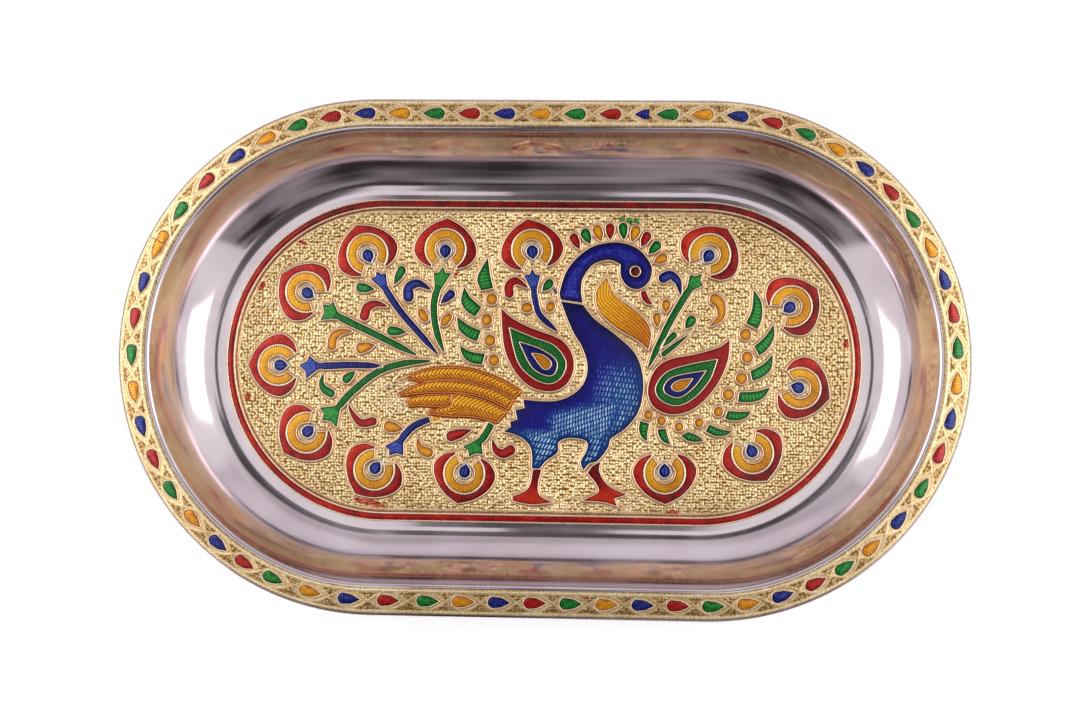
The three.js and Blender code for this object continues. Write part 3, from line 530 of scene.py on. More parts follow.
def gilt_material(name, roughness, metallic, places, colours):
    """Embossed foil, dark where the tone is low and bright where it is high: oxide in the ground's hollows,
    painted shade and highlights on the walls, threads and beads.
    """
    shader = Shader(name, roughness, metallic)
    flecks = shader.range(shader.noise(0.8, 3.0), 0.25, 0.75, -0.16, 0.16)
    cloud = shader.range(shader.noise(14, 2.0), 0.3, 0.7, -0.06, 0.06)
    tone = shader.math("ADD", shader.math("ADD", shader.number("tone"), flecks), cloud)
    shader.feed(
        Base_Color=shader.ramp(tone, *zip(places, map(linear, colours))),
        Normal=shader.bump(shader.noise(0.55), 0.08, 0.5),
        Roughness=shader.range(shader.noise(1.1), 0.3, 0.7, roughness - 0.08, roughness + 0.1))
    return shader.material


def enamel_material(name, colours, shifted=()):
    """Glassy enamel over embossed foil: dark at its edges with painted shade, bright where the foil below
    stands up.
    """
    places = (0.08, 0.46, 0.88)
    shader = Shader(name, 0.26, 0.3, coat=0.12)
    shader.set(Specular_IOR_Level=0.35)
    flecks = shader.range(shader.noise(1.6, 2.5), 0.25, 0.75, -0.08, 0.08)
    tone = shader.math("ADD", shader.number("tone"), flecks)
    own = shader.ramp(tone, *zip(places, map(linear, colours)))
    if shifted:
        other = shader.ramp(tone, *zip(places, map(linear, shifted)))
        own = shader.mix(shader.number("hue"), own, other)
    shader.feed(
        Base_Color=own,
        Normal=shader.bump(shader.noise(1.4, 3.0), 0.12, 0.4),
        Roughness=shader.range(shader.noise(1.0), 0.3, 0.7, 0.18, 0.34))
    return shader.material


# Gilt: name, roughness, how metallic it is, and where its tones lie with their colours
GILT = [
    ("gilt_ground", 0.32, 0.7, (0.1, 0.36, 0.6, 0.86),
     [(104, 64, 26), (180, 138, 80), (228, 192, 130), (255, 236, 192)]),
    ("gilt_band", 0.34, 0.6, (0.1, 0.38, 0.62, 0.9),
     [(108, 70, 34), (176, 138, 88), (218, 186, 134), (252, 236, 200)]),
    ("gilt_wall", 0.3, 0.7, (0.1, 0.4, 0.7, 0.95),
     [(112, 70, 44), (190, 146, 104), (234, 200, 160), (252, 228, 200)]),
    ("copper_wall", 0.3, 0.7, (0.1, 0.4, 0.7, 0.95),
     [(96, 36, 12), (156, 72, 22), (206, 116, 48), (240, 166, 96)]),
    ("silver_wall", 0.28, 0.6, (0.1, 0.4, 0.7, 0.95),
     [(104, 90, 80), (170, 156, 142), (218, 206, 192), (240, 232, 220)]),
]

# Enamels: name, slot, and the deep, main and bright colours, which the body's hue shifts to three more
ENAMELS = [
    ("red", "red", [(66, 4, 10), (162, 20, 16), (230, 70, 40)]),
    ("blue", "blue", [(8, 8, 44), (20, 24, 104), (84, 116, 216)]),
    ("green", "green", [(2, 40, 14), (6, 106, 34), (92, 200, 96)]),
    ("yellow", "yellow", [(104, 46, 0), (224, 142, 6), (255, 206, 64)]),
    ("orange", "yellow", [(116, 54, 2), (214, 134, 14), (252, 200, 74)]),
    ("amber", "yellow", [(116, 42, 0), (214, 122, 4), (255, 202, 50)]),
    ("body", "blue", [(8, 6, 44), (30, 24, 132), (90, 120, 232)],
     [(4, 22, 66), (12, 80, 152), (196, 232, 246)]),
]

steel = steel_material()
ground_gilt, band_gilt, wall_gilt, wall_copper, wall_silver = (gilt_material(*row) for row in GILT)
SLOTS = {name: (enamel_material(f"{name}_enamel", *colours), f"{slot}_enamel")
         for name, slot, *colours in ENAMELS}


# The pan

def turning(start, from_heading, to_heading, radius, steps):
    """Places of an arc that turns clockwise in section: radius, height and heading."""
    first = math.radians(from_heading)
    centre = (start[0] + radius * math.sin(first), start[1] - radius * math.cos(first))
    heading = np.linspace(from_heading, to_heading, steps + 1)
    angle = np.radians(heading)
    return np.column_stack([centre[0] - radius * np.sin(angle), centre[1] + radius * np.cos(angle), heading])


def cove_places():
    """Places up the well's curved side, with their headings, and the curve's end below the shoulder."""
    steps = 28
    base = TRAY_HEIGHT - SHOULDER_RADIUS * (1 - math.cos(math.radians(WALL_ANGLE)))
    lean = (base - SHEET) / math.tan(math.radians(WALL_ANGLE))
    floor = np.array([FLOOR_RADIUS, SHEET])
    top = np.array([WALL_TOP_RADIUS, base])
    corner = np.array([WALL_TOP_RADIUS - lean, SHEET])
    first = floor + (corner - floor) * COVE_FULLNESS
    second = top + (corner - top) * COVE_FULLNESS
    t = (np.arange(steps) / steps)[:, None]
    at = floor * (1 - t) ** 3 + 3 * first * t * (1 - t) ** 2 + 3 * second * t * t * (1 - t) + top * t ** 3
    along = (first - floor) * (1 - t) ** 2 + 2 * (second - first) * t * (1 - t) + (top - second) * t * t
    heading = np.degrees(np.arctan2(along[:, 1], along[:, 0]))
    return np.column_stack([at, heading]), top


def pan_places():
    """The pan's upper surface in section, and the part of it that is the rim."""
    shoulder_steps, rim_steps, roll_steps = 12, 16, 24
    cove, top = cove_places()
    shoulder = turning(top, WALL_ANGLE, RIM_START_RISE, SHOULDER_RADIUS, shoulder_steps)
    roll_start = OUTER_RADIUS - ROLL_RADIUS * (1 + math.sin(math.radians(-RIM_END_FALL)))
    r = np.linspace(shoulder[-1, 0], roll_start, rim_steps + 1)
    heading = np.linspace(RIM_START_RISE, -RIM_END_FALL, rim_steps + 1)
    slope = np.tan(np.radians((heading[1:] + heading[:-1]) / 2))
    z = shoulder[-1, 1] + np.concatenate([[0], np.cumsum(slope * np.diff(r))])
    z = np.minimum(z, TRAY_HEIGHT)
    rim = np.column_stack([r, z, heading])
    roll = turning(rim[-1, :2], -RIM_END_FALL, -RIM_END_FALL - ROLL_TURN, ROLL_RADIUS, roll_steps)
    return np.vstack([cove, shoulder[:-1], rim[:-1], roll]), rim


def lifted(places, height):
    """Radii and heights of places in section, moved square to the surface."""
    angle = np.radians(places[:, 2])
    return np.column_stack([places[:, 0] - height * np.sin(angle), places[:, 1] + height * np.cos(angle)])


def oval_stations(arc_steps, straight_steps):
    """Centres on the long axis and outward directions round the oval, counter-clockwise."""
    half = np.linspace(-UP, UP, arc_steps, endpoint=False)
    run = np.linspace(STRAIGHT_HALF, -STRAIGHT_HALF, straight_steps, endpoint=False)
    centre = np.concatenate([
        np.full(arc_steps, STRAIGHT_HALF), run, np.full(arc_steps, -STRAIGHT_HALF), -run])
    angle = np.concatenate([half, np.full(straight_steps, UP), half + 180, np.full(straight_steps, -UP)])
    angle = np.radians(angle)
    return centre, np.cos(angle), np.sin(angle)


def swept_oval(section, stations):
    """A section of radii and heights swept round the oval."""
    centre, x, y = stations
    r, z = section[:, 0], section[:, 1]
    flat_x = centre[:, None] + x[:, None] * r
    flat_y = y[:, None] * r
    vertices = np.stack([flat_x, flat_y, np.broadcast_to(z, flat_x.shape)], -1).reshape(-1, 3)
    return vertices, grid_faces(len(centre), len(section), wrap=True)


def make_pan(places):
    """One closed sheet of even thickness, with its two free edges capped."""
    arc_steps, straight_steps = 96, 16
    upper = places[:, :2]
    under = lifted(places, -SHEET)[::-1]
    end = (upper[-1] + under[0]) / 2
    section = np.vstack([upper, end, under])
    stations = oval_stations(arc_steps, straight_steps)
    vertices, faces = swept_oval(section, stations)
    rows = len(section)
    count = len(stations[0])
    top = (np.arange(count) * rows).tolist()
    bottom = (np.arange(count) * rows + rows - 1).tolist()
    faces = faces[:, ::-1].tolist() + [top, bottom[::-1]]
    add_piece("pan", vertices, faces, steel, "polished_steel", ["steel_pan"])


# The picture's drawing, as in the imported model: places are near their real size

EYE_RING_CENTRE = 0.7
EYE_YELLOW_RADIUS = 7.3
EYE_YELLOW_INNER = 4.2
EYE_OPENING = 38
EYE_DROP = ((-2.9, 0), (0.2, 0), 2.1)
EYE_SIDE = [(12.3, 0), (9.3, 5.9), (4.6, 10.3), (-0.5, 11.7), (-4.6, 9), (-6.3, 5)]

# Each eye feather: its name, the place of its blue drop and the direction of its tip
EYE_FEATHERS = [
    ("upper_left", -90, 25.5, 146), ("top_left", -67, 40, 112), ("top_centre_left", -37.5, 42, 86),
    ("top_centre", -4.5, 42, 99), ("left", -100, -2, 180), ("lower_left", -89, -27, -139),
    ("bottom_left", -63, -40.5, -127), ("bottom_centre_left", -29, -41.3, -102),
    ("top_right", 62, 41, 56), ("upper_right", 92.5, 22, 34), ("right", 96, -8, -18),
    ("lower_right", 79, -32, -62), ("bottom_right", 46.5, -40, -88),
]

PICTURE_END_MARGIN = 4.6
PICTURE_SIDE_MARGIN = 3.2
PICTURE_SHIFT = (0.5, -0.5)
DRAWN_HALF = np.array([
    max(abs(x) for _, x, _, _ in EYE_FEATHERS), max(abs(y) for _, _, y, _ in EYE_FEATHERS),
]) + EYE_SIDE[0][0]
FIELD_HALF = np.array([
    STRAIGHT_HALF + FIELD_RADIUS - PICTURE_END_MARGIN, FIELD_RADIUS - PICTURE_SIDE_MARGIN])
STRETCH = FIELD_HALF / DRAWN_HALF
FEATHER_SCALE = STRETCH.mean()

# Stems: name, colour, the head's apex and corners, the path, and half the shaft's width along it and
# at its end
STEMS = [
    ("top_left", "blue", [(-63.6, 34), (-60.1, 33.4), (-65.8, 31.2)],
     [(-61, 29), (-58.3, 24.5), (-53.8, 18.3), (-46.5, 10.2), (-39.9, 2.9)], 1.3, 0.2),
    ("top_centre_left", "green", [(-38.3, 36), (-35.2, 33.4), (-41.8, 33.5)],
     [(-39.8, 29), (-41.3, 24), (-41.5, 18), (-40.1, 10.5), (-37.5, 3.9)], 1.3, 0.2),
    ("top_centre", "blue", [(-4.4, 35.4), (-1.3, 33), (-7.4, 33)],
     [(-3.8, 29), (-3.2, 24), (-1.2, 18), (5.3, 12.2)], 1.2, 0.2),
    ("upper_left", "green", [(-84, 21.2), (-80, 22.3), (-84.8, 15.4)],
     [(-79.5, 17.5), (-74, 14.8), (-64, 10.2), (-48, 2.5)], 1.3, 0.2),
    ("left", "blue", [(-92.6, -1.9), (-88.8, 1.6), (-90, -7)],
     [(-86.5, -2.2), (-81, -2), (-72, -1.6), (-60.9, -1.9)], 1.3, 0.2),
    ("lower_left", "green", [(-83.6, -22.5), (-84.5, -18), (-78, -25.2)],
     [(-78.5, -18.8), (-72.3, -11.8), (-62.9, -4.3), (-53.4, -0.9), (-42.6, 0.3)], 1.3, 0.2),
    ("bottom_left", "blue", [(-57.8, -35.6), (-59.4, -32.2), (-52.4, -35.4)],
     [(-54.2, -31.2), (-51.3, -27), (-47.5, -23.8), (-42.6, -21.8)], 1.4, 0.95),
    ("bottom_centre_left", "green", [(-27.4, -35.4), (-29.6, -32), (-22.2, -34.6)],
     [(-24.4, -31), (-21.5, -27.6), (-19.1, -23.3)], 1.4, 1.2),
    ("top_right", "green", [(59.5, 34.2), (55, 33.7), (60, 30)],
     [(55.8, 29.6), (53.2, 25.6), (47.5, 15.5), (39.9, -1)], 1.3, 0.2),
]


def fitted(outline):
    """Drawn places moved to their places on the panel."""
    return np.asarray(outline, float) * STRETCH + PICTURE_SHIFT


def neck_outline():
    return fitted(closed(
        curve([(6.6, 24), (6.3, 27.5), (9.5, 36.2), (17.2, 43.4), (26.9, 45.7), (35, 43.5), (39.9, 38.2),
               (40.6, 34), (38.9, 30.2), (35.5, 28.3), (31.7, 29.4), (29.2, 33), (29, 37.5)]),
        curve([(29, 37.5), (25.8, 39), (22.6, 39), (18.1, 37), (14.8, 32.2), (14.1, 27.6), (14.8, 23)]),
        line([(14.8, 23), (6.6, 24)])))


HEAD_EYE = (34.5, 34.9)
HEAD_EYE_RADIUS = 1.7


def beak_outline():
    return fitted(closed(
        curve([(36.7, 27.1), (37.6, 27.5), (38.5, 27.6)]),
        curve([(38.5, 27.6), (39.4, 25.4), (41, 22.7)]),
        curve([(41, 22.7), (39.2, 22.8), (37.3, 24.6), (36.7, 27.1)])))


def body_outline():
    return fitted(closed(
        curve([(6.7, 23.2), (11, 12.8), (15, 6), (17, -1), (15.6, -7.5), (11, -12), (4, -14.4), (-7, -14)]),
        line([(-7, -14), (-6.6, -17.1), (-10, -18), (-9.2, -21.4), (-12, -22.4), (-11.6, -24.2),
              (-14.2, -25.9)]),
        curve([(-14.2, -25.9), (-10, -27), (-6, -29.2), (-3.7, -33), (-3.4, -39.6)]),
        line([(-3.4, -39.6), (-0.6, -39.6)]),
        curve([(-0.6, -39.6), (2, -36.5), (6, -33.5), (6.5, -29.6), (10, -28), (15.5, -28.4), (17.4, -30),
               (17, -33), (15, -37), (16, -40)]),
        curve([(16, -40), (18, -37.5), (21.4, -36.2), (25, -31.5), (26.2, -28), (31.6, -24), (36.2, -18),
               (38, -10), (37.4, -2.5), (34.4, 4.5), (27, 11.2), (19.6, 16.6), (15, 22)]),
        line([(15, 22), (6.7, 23.2)])))


def foot_outlines():
    left = fitted(closed(
        curve([(-3.1, -40.4), (-1.6, -40.1), (-0.1, -40.3)]),
        curve([(-0.1, -40.3), (-1.2, -45.5), (-1, -48.9), (1, -51), (4.2, -52.3)]),
        curve([(4.2, -52.3), (-3.8, -53.1), (-10.7, -51.8)]),
        curve([(-10.7, -50.5), (-6, -48.4), (-3.9, -45.5), (-3.1, -40.4)])))
    right = fitted(closed(
        curve([(17.6, -41), (19.4, -38.6), (22.2, -37)]),
        curve([(22.2, -37), (22, -41), (25.6, -46), (32, -49)]),
        line([(32, -49), (27.6, -50.4), (28.6, -53.2)]),
        curve([(28.6, -53.2), (23.4, -51.8), (16, -51.4)]),
        curve([(16, -51.4), (21.6, -48.4), (21, -45.2), (17.6, -41)])))
    return left, right


PLUME_EDGE = [(23.8, 32.6), (20, 27), (21.2, 20), (27.7, 13.7), (35.5, 9.3), (39.7, 5.6)]
PLUME_BACK = [(39.7, 5.6), (40.6, 12), (37.9, 17.1), (32.7, 21.4), (26.9, 25.8), (24.9, 29.7), (23.8, 32.6)]

# Tail plumes: the upper edge to the far end, then the lower edge back
TAIL_PLUMES = [
    ([(-8.6, -10.9), (-16.4, -6.6), (-26.5, -3.2), (-36.1, -2.3), (-44.2, -3.5), (-51.5, -6.1)],
     [(-51.5, -6.1), (-44.6, -7.1), (-36.5, -6.3), (-26.9, -7.1), (-18.3, -9.3), (-10.8, -13)]),
    ([(-11.2, -14.1), (-18.7, -10.4), (-27.4, -8.2), (-36.5, -7.4), (-44.6, -8.2), (-54.2, -12.6)],
     [(-54.2, -12.6), (-43.6, -11.5), (-35, -11.2), (-26.9, -11.9), (-19.6, -14), (-13, -17.1)]),
    ([(-34.6, -12.4), (-43.6, -12.7), (-50.4, -13.9)],
     [(-50.4, -13.9), (-50.4, -16.4), (-45.5, -16.3), (-39.5, -16.6), (-35.8, -15.4), (-34.6, -12.4)]),
    ([(-13.6, -18.2), (-20.6, -15.1), (-27.3, -13.1), (-33.2, -12.5), (-34.6, -16.2), (-38.7, -17.7),
      (-42.6, -19.4)],
     [(-42.6, -19.4), (-35.4, -20.1), (-27.7, -20.2), (-21.9, -21.1), (-17, -22.2)]),
]

# Wings: paisleys nested one inside another, from the outside in
LEFT_WING = {
    "red": [(-15.9, 20.4), (-11.9, 16.8), (-4.9, 13.2), (4.5, 9.9), (8.6, 7.2), (11.3, 2.5), (11.5, -3),
            (8.6, -8.2), (2.9, -10.5), (-4.6, -8.7), (-10.6, -2.8), (-14.6, 6.3), (-15.9, 20.4)],
    "green": [(-12.6, 13), (-3.9, 9.5), (4.1, 6.5), (8.5, 0.8), (7.2, -4.8), (2.6, -7.5), (-3.7, -5.3),
              (-9.2, 0.6), (-12.6, 13)],
    "blue": [(-8.7, 7.7), (-0.5, 4.9), (4.9, 1), (4.7, -3.3), (1.8, -4.5), (-3.9, -1.4), (-8.7, 7.7)],
    "orange": [(-3.8, 3.4), (0.1, 2.8), (3, 0.2), (2.3, -1.7), (0.2, -1.7), (-3.8, 3.4)],
}
RIGHT_WING = {
    "red": [(70.2, 9.5), (69.3, 1), (64.7, -8.6), (56.9, -16.4), (48.6, -18.5), (42.1, -15.7), (39.9, -9.7),
            (42.3, -2.3), (47.8, 1.8), (56.6, 3.7), (65.8, 6.4), (70.2, 9.5)],
    "green": [(65.5, 2), (62.7, -5.5), (57.1, -12.1), (50.9, -15.1), (44.9, -13.2), (42.9, -8.7),
              (46.9, -3), (55.5, 0), (65.5, 2)],
    "blue": [(61.2, -2.3), (57, -8.1), (51.8, -12), (46.9, -10.8), (46.1, -8), (49.8, -4.6), (61.2, -2.3)],
    "orange": [(56.2, -5.3), (53.7, -8.6), (50.6, -9.7), (48.9, -8.2), (51.2, -6.2), (56.2, -5.3)],
}

# Flame leaves: the tip, two places down the outer side, the outer and the inner corner of the base,
# and a place up the inner side
FLAME_LEAVES = [
    [(-21.3, 39.4), (-25, 32.6), (-24.6, 29.1), (-23.6, 27.2), (-19.2, 28.2), (-20.5, 33.6)],
    [(-30.1, 28.3), (-31.2, 23.1), (-29.2, 19.5), (-25.8, 17.3), (-23.5, 20.8), (-27.5, 24.2)],
    [(-32.6, 17), (-31.8, 12.3), (-28.5, 9.4), (-25, 8), (-23.6, 11.9), (-28.1, 13.8)],
    [(-31.5, 6.2), (-30.1, 2.2), (-26.9, -0.2), (-22.9, -0.6), (-22, 3.1), (-27.5, 4)],
    [(79, 28.3), (81.9, 23.6), (82.1, 17.9), (80.5, 13.7), (76.3, 16), (78.4, 20.9)],
    [(86.5, 15.5), (86.8, 10.9), (84.4, 6.4), (81.3, 3.9), (79.5, 7.2), (83.5, 11)],
    [(86.3, 4.2), (85.9, -0.7), (82.8, -4), (79, -5.6), (78.1, -2.1), (82.7, 0.4)],
    [(85.5, -8.2), (82.9, -12), (78.5, -13.6), (73.6, -13.5), (74.2, -10.1), (80.2, -9.7)],
    [(78.5, -17.2), (76.6, -19.5), (72.8, -20.6), (68.8, -20), (69.9, -17.1), (74.1, -17.4)],
    [(71.5, -24.7), (68.7, -26.3), (64.9, -26.3), (61.7, -24.7), (63, -22.3), (67.1, -24)],
    [(60.9, -28.3), (57.7, -28.8), (54.8, -28.2), (52.6, -26.6), (55.1, -25.2), (58.3, -26.4)],
    [(48.5, -29.9), (45.8, -28.8), (44.2, -26.7), (43.7, -24.4), (46.7, -24.2), (47.3, -26.7)],
    [(39.8, -28.7), (37.7, -27.2), (36.7, -24.6), (37.1, -21.4), (40.4, -22.3), (39.8, -25.5)],
]

# Dots: the middle and the radius
DOTS = [
    (-19.6, 23.9, 2.05), (-21.4, 16.1, 2.05), (-20.1, 8.3, 2.05), (-18.5, 0.8, 2.05), (76.1, 11.6, 2.05),
    (76.9, 3.1, 2.05), (74.8, -4.8, 2.05), (70, -10.9, 2.05), (66.3, -17.4, 1.7), (59.2, -21.7, 1.6),
    (51.6, -23.3, 1.6), (45, -21.1, 1.6), (40.1, -19, 1.6),
]

# Drops, the crest's first: colour, the tip, the middle of the round end, and the round end's radius
CREST_COUNT = 9
DROPS = [
    ("red", (13.4, 43.1), (11.2, 47.3), 1.65), ("green", (17.5, 45.1), (15.5, 49), 1.8),
    ("yellow", (21.6, 46.2), (20, 50.3), 1.8), ("red", (24.9, 46.7), (24.8, 51.2), 1.65),
    ("green", (30.1, 46.8), (29.7, 51.4), 1.7), ("yellow", (33.1, 46.1), (34.5, 50.3), 1.75),
    ("red", (36.6, 44.2), (38.7, 48.1), 1.65), ("green", (39.3, 41.5), (42.4, 44.7), 1.7),
    ("orange", (41.4, 38.3), (44.7, 40), 1.75), ("green", (-64.3, 27.2), (-69.6, 27.8), 1.75),
    ("green", (-56.9, 29), (-54.1, 34.4), 1.65), ("green", (-51.9, 11.1), (-57.6, 11.5), 1.7),
    ("orange", (-63.9, 6.1), (-69.1, 4.8), 1.9), ("green", (-71.2, -4), (-74.5, -6.9), 1.6),
    ("orange", (-52.5, -25.7), (-58, -24.7), 1.95), ("red", (-26.5, -25.5), (-34.2, -28), 1.9),
    ("green", (-0.5, 27.2), (2.1, 30), 1.6), ("blue", (-39, 22.1), (-35.2, 25.6), 1.65),
    ("orange", (46.1, 19.7), (46.3, 22.7), 1.6), ("orange", (43.1, 14), (42.8, 17.8), 1.45),
    ("green", (53.6, 13.6), (55.8, 16.7), 1.75), ("green", (44.4, 6.2), (49.2, 11), 1.2),
    ("green", (55, 11.5), (45.6, 4), 0.95),
]

# Seeds: the middle, the long and short half widths, and the turn
SEEDS = [
    (-45.6, 17.5, 2.7, 1.6, -55), (-36.8, 15.9, 2.8, 1.5, 50), (-6.2, 20.8, 2.2, 1.7, 0),
    (2.6, 21.3, 1.9, 1.6, 50),
]

# Commas: colour, the spine from the bulb to the tip of the tail, and half the width at the bulb
COMMAS = [
    ("red", [(-68, 17.1), (-66.9, 20.3), (-63.6, 21.7), (-59.4, 20.8)], 1.8),
    ("orange", [(-80.3, 5.7), (-79.7, 8.9), (-76.8, 10.9), (-72.7, 11.2)], 1.7),
    ("blue", [(-51.3, 24.6), (-51.1, 27.9), (-47.7, 29.6), (-42.8, 27.3)], 2),
    ("red", [(-13, 26.2), (-13, 29.2), (-10.5, 30.9), (-6, 28.4)], 1.7),
    ("green", [(-80.4, -12.4), (-83, -10.8), (-84.1, -8.3), (-83.3, -5.2)], 1.5),
    ("red", [(-64.2, -22.8), (-68.7, -23.5), (-72.2, -19.7), (-73.6, -16.4)], 1.5),
    ("orange", [(-42.8, -34.3), (-44.7, -33.7), (-46.3, -32.1), (-47, -29.2)], 1.7),
    ("red", [(-11.7, -32.9), (-14.4, -34.3), (-17.2, -33), (-18.6, -29.2)], 1.8),
    ("blue", [(45.1, 32.5), (47.7, 33.5), (50.5, 31.3), (51.7, 26.3)], 1.8),
    ("orange", [(64.5, 24.8), (66.6, 22.7), (66.7, 18.1), (63, 14.7)], 1.9),
]

# Stray enamel on the ground: colour, the middle, the long and short half widths, and the turn
SMUDGES = [
    ("red", -93.6, 45.6, 3.2, 0.7, -30), ("red", -108, 28, 2.2, 0.9, 60),
    ("red", -112.5, -14.2, 1.6, 0.9, 80), ("red", -65.5, -53.6, 5.5, 1.2, -12),
    ("red", -31, -57.2, 3, 0.7, 0), ("red", 49.6, -55.6, 2.6, 0.9, 5), ("red", 90.6, -48.6, 2.4, 1, 35),
    ("red", 114, 8.8, 1.3, 1.8, 0), ("red", -33.6, 33.2, 1.2, 0.7, 40), ("red", -9.4, 32.9, 1.1, 0.6, 20),
    ("green", 32, 53.6, 1.2, 1.9, 0), ("green", 29.4, 54.4, 1.6, 0.9, 50), ("green", 35, 54, 1.4, 0.8, -40),
    ("blue", 4.4, 27.3, 0.7, 1.2, 20), ("yellow", -40.3, -21.6, 1.5, 0.9, 30),
]

# Bare gold threads: claws and ground lines by the feet, feather ends left of the tail, leaf ribs
THREADS = [
    [(-10.7, -51), (-14.5, -50.3), (-18, -51.2), (-22, -50.8)],
    [(-9, -52.6), (-13, -53.6), (-17, -53.2), (-21, -54)],
    [(4.2, -52.3), (7.4, -52.2), (10.4, -53.6)],
    [(16, -51.4), (13.2, -50.4), (10.4, -51)],
    [(-4, -54.6), (2, -54.2), (8, -55), (14, -53.6), (20, -53.6), (26, -54.6), (34, -53.4)],
    [(32, -49), (35.6, -49.6), (38, -52)],
    [(28.6, -53.2), (32.6, -52.4), (36, -53.6)],
    [(-50.6, -5.2), (-56, -7.4), (-60, -9.4), (-65, -12.3)],
    [(-50.6, -6.6), (-56.4, -8.8), (-62, -10.6)],
    [(-49, -7.6), (-55, -10.4), (-59, -12.4)],
    [(-52.6, -10.6), (-57.6, -13.4), (-61.4, -17.4)],
    [(-52.6, -12.2), (-56.6, -15), (-59.4, -18.4)],
    [(-50.6, -14), (-54.6, -16.8), (-57, -20)],
    [(-50, -15.6), (-53.4, -18), (-55.4, -19.8)],
    [(41, -2), (46.6, 4.6), (52.6, 10), (61, 13.2)],
    [(47.8, 12.4), (52, 12.6), (58, 15)],
]

DROP_SHOULDER = 70
DROP_FULLNESS = 0.78


def drop_outline(tip, middle, radius):
    """A drop with full sides, from its tip and the middle and radius of its round end."""
    round_step, side_step = 0.22, 0.25
    tip, middle = np.array(tip, float), np.array(middle, float)
    run = tip - middle
    facing = math.degrees(math.atan2(run[1], run[0]))
    halfway = (tip + middle) / 2
    swell = np.array([-run[1], run[0]]) / math.hypot(*run) * radius * DROP_FULLNESS
    round_end = arc(*middle, radius, facing + DROP_SHOULDER, facing + 360 - DROP_SHOULDER, round_step)
    return closed(curve([tip, halfway + swell, round_end[0]], side_step), round_end[:-1],
                  curve([round_end[-1], halfway - swell, tip], side_step))


def leaf_outline(tip, outer_high, outer_low, outer_corner, inner_corner, inner):
    return fitted(closed(
        curve([tip, outer_high, outer_low, outer_corner]), line([outer_corner, inner_corner]),
        curve([inner_corner, inner, tip])))


def sideways(run):
    """The directions square to a path, on its left."""
    along = np.gradient(run, axis=0)
    along /= np.linalg.norm(along, axis=1)[:, None]
    return np.column_stack([-along[:, 1], along[:, 0]])


def comma_outline(spine, half_width):
    """A comma with a round bulb, that narrows along its spine to a point."""
    spine_step, round_step = 0.3, 0.25
    bulb_reach, slimness = 84, 0.8
    run = np.vstack([curve(spine, spine_step), spine[-1:]])
    share = np.linspace(0, 1, len(run))
    across = sideways(run) * (half_width * np.cos(share * np.pi / 2) ** slimness)[:, None]
    back = run[0] - run[1]
    facing = math.degrees(math.atan2(back[1], back[0]))
    round_end = arc(*run[0], half_width, facing + bulb_reach, facing - bulb_reach, round_step)
    return fitted(closed((run + across)[:-1], run[-1:], (run - across)[:-1][::-1], round_end))


def oval_patch(x, y, long, short, degrees):
    """An oval from its middle, its half widths and its turn."""
    return closed(turned(circle(0, 0, 1) * (long, short), degrees) + (x, y))


def stem_outline(head, path, half_width, end_half_width):
    """A stem with a notched head and a shaft that narrows to its end."""
    step, every = 0.8, 3
    notch = 0.2
    narrow_from, narrow_width = 0.78, 0.85
    run = np.vstack([curve(path, step), path[-1:]])
    share = np.linspace(0, 1, len(run))
    widths = [1, narrow_width, end_half_width / half_width]
    width = half_width * np.interp(share, [0, narrow_from, 1], widths)
    across = sideways(run) * width[:, None]
    apex, first, second = (np.array(place, float) for place in head)
    left, right = run + across, run - across
    if np.linalg.norm(left[0] - first) > np.linalg.norm(left[0] - second):
        first, second = second, first
    first_notch = (apex + first) / 2 * (1 - notch) + run[0] * notch
    second_notch = (apex + second) / 2 * (1 - notch) + run[0] * notch
    left_side = curve(np.vstack([first, left[2::every], left[-1:]]))
    right_side = curve(np.vstack([right[-1:], right[2::every][::-1], second]))
    return fitted(closed(line([apex, first_notch, first]), left_side, line([left[-1], right[-1]]), right_side,
                         line([second, second_notch, apex])))


def eye_outlines():
    """The red and yellow crescents and the blue drop of an eye feather, with its tip towards +X."""
    lower_side = [(x, -y) for x, y in EYE_SIDE[::-1]]
    end = 180 - EYE_OPENING
    red_arc = arc(EYE_RING_CENTRE, 0, EYE_YELLOW_RADIUS + WALL_WIDTH, end, -end)
    red = closed(curve(EYE_SIDE), line([EYE_SIDE[-1], red_arc[0]]), red_arc,
                 line([red_arc[-1], lower_side[0]])[1:], curve(lower_side))
    outer = arc(EYE_RING_CENTRE, 0, EYE_YELLOW_RADIUS, -end, end)
    inner = arc(EYE_RING_CENTRE, 0, EYE_YELLOW_INNER, end, -end)
    yellow = closed(outer, line([outer[-1], inner[0]])[1:], inner, line([inner[-1], outer[0]])[1:])
    drop = drop_outline(*EYE_DROP)
    return [outline * FEATHER_SCALE for outline in (red, yellow, drop)]


# Enamel fills

walls = {"gilt": [], "copper": [], "silver": []}


def plain(at, edge):
    """An even tone, darker near the walls with painted shade."""
    return 0.36 + 0.2 * smooth(edge, 0.4, 1.5)


def enamel_mesh(outline, holes, pattern, pitch):
    """A fill's surface: low at its walls, domed in the middle, embossed where its pattern is bright.

    A pattern gives the tone at each place, or the tone and the hue.
    """
    painted_shade_at_wall, painted_shade_width = 0.25, 0.55
    dome_width, emboss = 0.6, 0.12
    sway_pitch, sway_depth = 2.2, 0.05
    at, triangles = filled(outline, holes, pitch)
    edge = np.min([distance_to(at, loop) for loop in (outline, *holes)], axis=0)
    found = pattern(at, edge)
    tone, *hue = found if isinstance(found, tuple) else (found,)
    # Painted shade: the tone is darkened towards the walls.
    away = smooth(edge, 0.0, painted_shade_width)
    tone = tone * (painted_shade_at_wall + (1 - painted_shade_at_wall) * away)
    sway = (clouds(at, sway_pitch, 5) - 0.5) * sway_depth
    height = ENAMEL_EDGE + ENAMEL_DOME * (1 - np.exp(-edge / dome_width))
    height += (sway + emboss * (tone - 0.5)) * away
    vertices = np.column_stack([at, height])
    values = dict(zip(("tone", "hue"), (tone, *hue)))
    return vertices, facing_up(vertices, triangles), values


